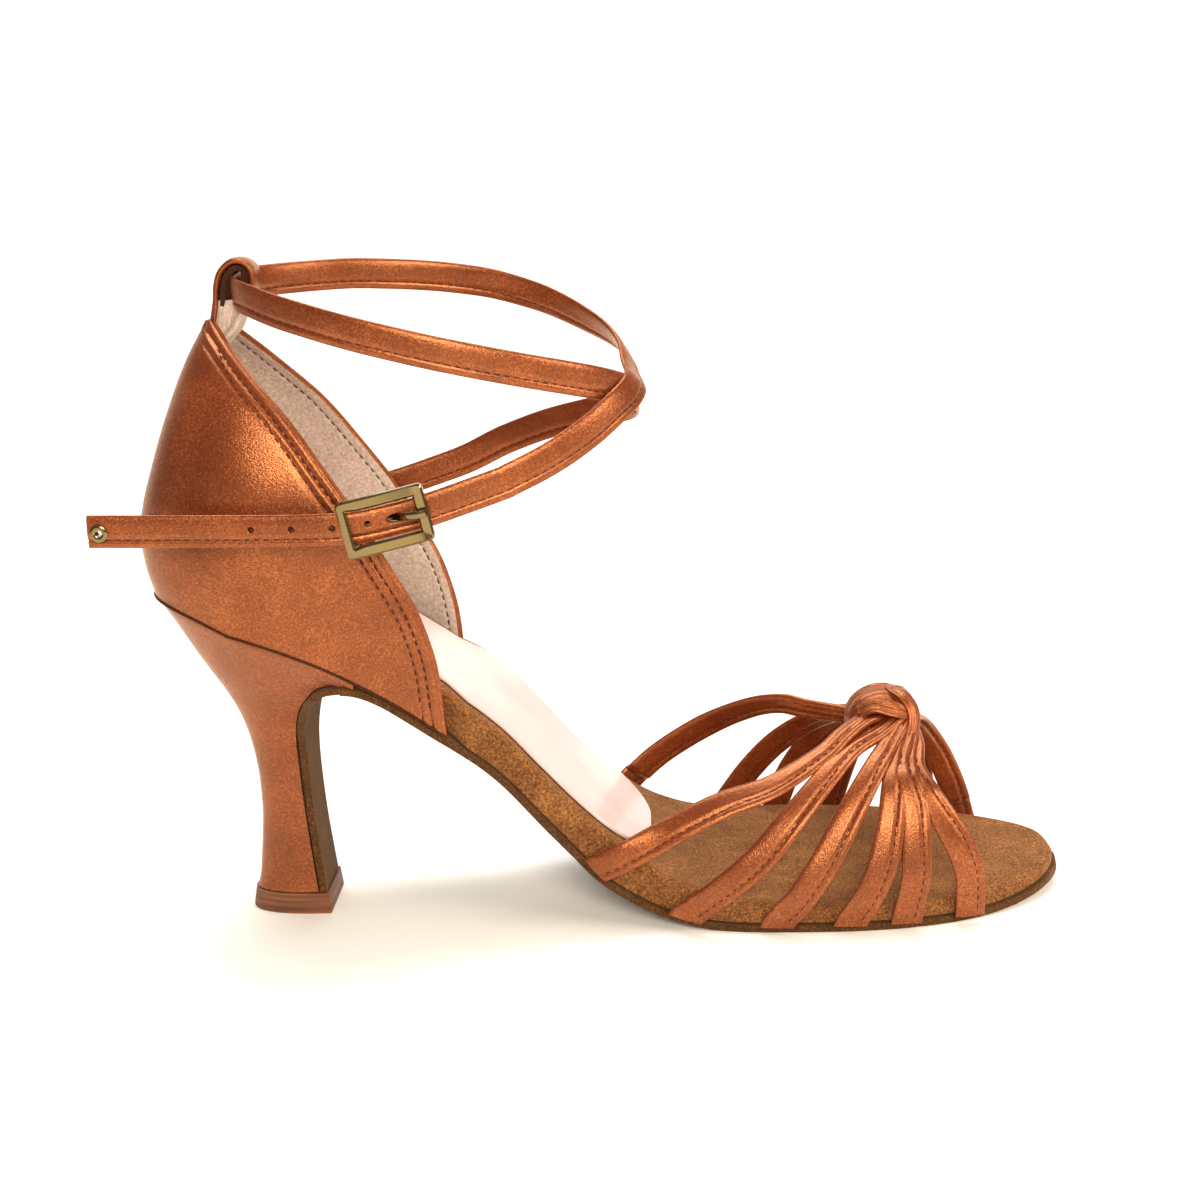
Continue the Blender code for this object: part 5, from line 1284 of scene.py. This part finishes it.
def build_buckle_tab(cover, raw_edge_and_shade):
    """A strip sewn to the closed back, round the hinge bar and back, with a slot for the prong."""
    rear = -BUCKLE_LONG / 2
    around = HINGE_BAR + HINGE_PLAY + TAB_THICK / 2
    low = HINGE_OUT - around
    a = np.radians(np.linspace(0, 180, 9))
    plan = np.vstack([
        [(rear - 7.4, low), (rear - 5.8, low), (rear - 4.0, low)],
        np.column_stack([rear + around * np.sin(a), HINGE_OUT - around * np.cos(a)]),
        [(rear - 2.6, HINGE_OUT + around - 0.5), (rear - 5.0, low + TAB_THICK + 0.5)],
        [(rear - 6.4, low + TAB_THICK + 0.15), (rear - 7.4, low + TAB_THICK + 0.15)],
    ])
    strip = buckle_sweep(path(plan, 110), TAB_WIDE, TAB_THICK, 28)
    tab = surface("buckle_tab_strip", strip, [cover, raw_edge_and_shade], "buckle_tab", ring=True, ends="flat")
    along = np.array([rear - 3.2, rear + 6.0, rear + 6.0, rear - 3.2])[None, :]
    out = np.array([24.0, 24.0, 36.0, 36.0])[None, :]
    slot = buckle_points(along, np.array([[-1.25], [1.25]]), out)
    # The slot's walls take the dark look: the raw cut edge and painted shade inside the slot.
    cut_holes(tab, [surface("prong_slot", slot, [raw_edge_and_shade], None, ring=True, ends="flat")])


def build_eyelet(look):
    """A barrel and a flat collar: the profile turned once round its axis."""
    profile = np.array(EYELET)
    a = angles(40)[:, None]
    r = profile[None, :, 0]
    x, out, z = EYELET_AT
    points = np.stack([x + r * np.cos(a), -out - profile[None, :, 1] + 0 * a, z + r * np.sin(a)], axis=-1)
    surface("eyelet_barrel", points, [look], "strap_eyelet", ring=True, loop=True)


# Stage


def build_lamps():
    """Rectangular area lights, each turned to the point it aims at, and an even light from the room."""
    for name, (place, aim, size, power, colour) in LAMPS.items():
        data = bpy.data.lights.new(name, "AREA")
        data.shape = "RECTANGLE"
        data.size, data.size_y = size
        data.energy = power
        data.color = linear(colour)[:3]
        lamp = bpy.data.objects.new(name, data)
        bpy.context.scene.collection.objects.link(lamp)
        lamp.location = place
        lamp.rotation_euler = (Vector(aim) - Vector(place)).to_track_quat("-Z", "Y").to_euler()
    world = bpy.data.worlds.new("studio")
    bpy.context.scene.world = world
    world.use_nodes = True
    room = world.node_tree.nodes["Background"]
    room.inputs["Color"].default_value = linear("#FFFFFF")
    room.inputs["Strength"].default_value = ROOM_LIGHT


def build_paper():
    """A matt white sheet that lies flat under the shoe and curves up behind it by a quarter circle."""
    look, tree = new_material("white_paper")
    shader = node(tree, "ShaderNodeBsdfPrincipled", Base_Color=linear("#FBFAF7"), Roughness=0.9)
    node(tree, "ShaderNodeOutputMaterial", Surface=shader.outputs[0])
    half_wide, front, back, radius, high = PAPER
    turn = np.linspace(0, math.pi / 2, 24)
    run = np.r_[-front, back + radius * np.sin(turn), back + radius]
    rise = np.r_[0.0, radius * (1 - np.cos(turn)), high]
    across = np.linspace(-half_wide, half_wide, 5)
    points = np.stack(np.broadcast_arrays(across[None, :], run[:, None], rise[:, None]), -1)
    surface("paper", points, [look], None)


def build_camera():
    """The camera at the photo's angle, aimed at a point of the shoe and rolled a little."""
    data = bpy.data.cameras.new("camera")
    camera = bpy.data.objects.new("camera", data)
    bpy.context.scene.collection.objects.link(camera)
    bpy.context.scene.camera = camera
    a = math.radians(CAMERA_ROUND)
    e = math.radians(CAMERA_HIGH)
    back = Vector((math.sin(a) * math.cos(e), -math.cos(a) * math.cos(e), math.sin(e)))
    camera.location = (Vector(CAMERA_AIM) + back * CAMERA_FAR) * MM
    camera.rotation_mode = "QUATERNION"
    level = (-back).to_track_quat("-Z", "Y").to_matrix()
    roll = Matrix.Rotation(math.radians(CAMERA_ROLL), 3, "Z")
    camera.rotation_quaternion = (level @ roll).to_quaternion()
    data.sensor_width = CAMERA_SENSOR
    data.lens = CAMERA_LENS
    data.clip_start = 0.01


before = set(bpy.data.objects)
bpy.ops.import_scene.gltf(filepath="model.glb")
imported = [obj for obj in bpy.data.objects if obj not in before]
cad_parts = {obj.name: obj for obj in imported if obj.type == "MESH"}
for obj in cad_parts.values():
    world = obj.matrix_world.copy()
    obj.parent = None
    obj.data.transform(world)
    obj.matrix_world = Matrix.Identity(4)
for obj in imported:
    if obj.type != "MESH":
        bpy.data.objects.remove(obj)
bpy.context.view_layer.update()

copper_satin = satin("copper_satin", "#642812", "#7E371C", "#A85831", 0.24)
# Dark look: painted shade in the seam bead, inside the loop and in the holes, and the raw cut edge on the
# holes' walls.
raw_edge_and_painted_shade = suede("raw_edge_and_painted_shade", "#2A140A", "#3A1D0F", "#4A2716")
brown_suede = suede("brown_suede", "#3E220D", "#774926", "#A87341")
# Darker than the board: the sole's own brown, plus painted shade on its edge.
sole_suede_and_edge_shade = suede("sole_suede_and_edge_shade", "#2E1B0C", "#4E3118", "#704A28")
lining_suede = suede("lining_suede", "#A48E82", "#C0AA9C", "#DCC8BA", nap=0.7, fibre=0.8)
pale_leather = sock_leather("pale_leather")
pale_gold = plated_metal("pale_gold_plate", "#86724C", 0.15)
heel_lift = lift_rubber("heel_lift_rubber")
# Thread darker than the satin: its own colour, plus painted shade of the groove it lies in.
thread_and_groove_shade = thread("thread_with_groove_shade", "#4A210F")

build_outsole(sole_suede_and_edge_shade)
build_insole(brown_suede)
build_sock(pale_leather)
build_heel(copper_satin)
build_heel_tip(heel_lift)
build_quarter(copper_satin, lining_suede, raw_edge_and_painted_shade, thread_and_groove_shade)
build_straps(copper_satin, thread_and_groove_shade)
build_knot(copper_satin)
build_ankle_strap(copper_satin, raw_edge_and_painted_shade, thread_and_groove_shade)
build_back_loop(copper_satin, raw_edge_and_painted_shade, lining_suede)
build_buckle_frame(pale_gold)
build_buckle_prong(pale_gold)
build_buckle_tab(copper_satin, raw_edge_and_painted_shade)
build_eyelet(pale_gold)
build_paper()
build_lamps()
bpy.context.scene.view_settings.view_transform = "Standard"
build_camera()
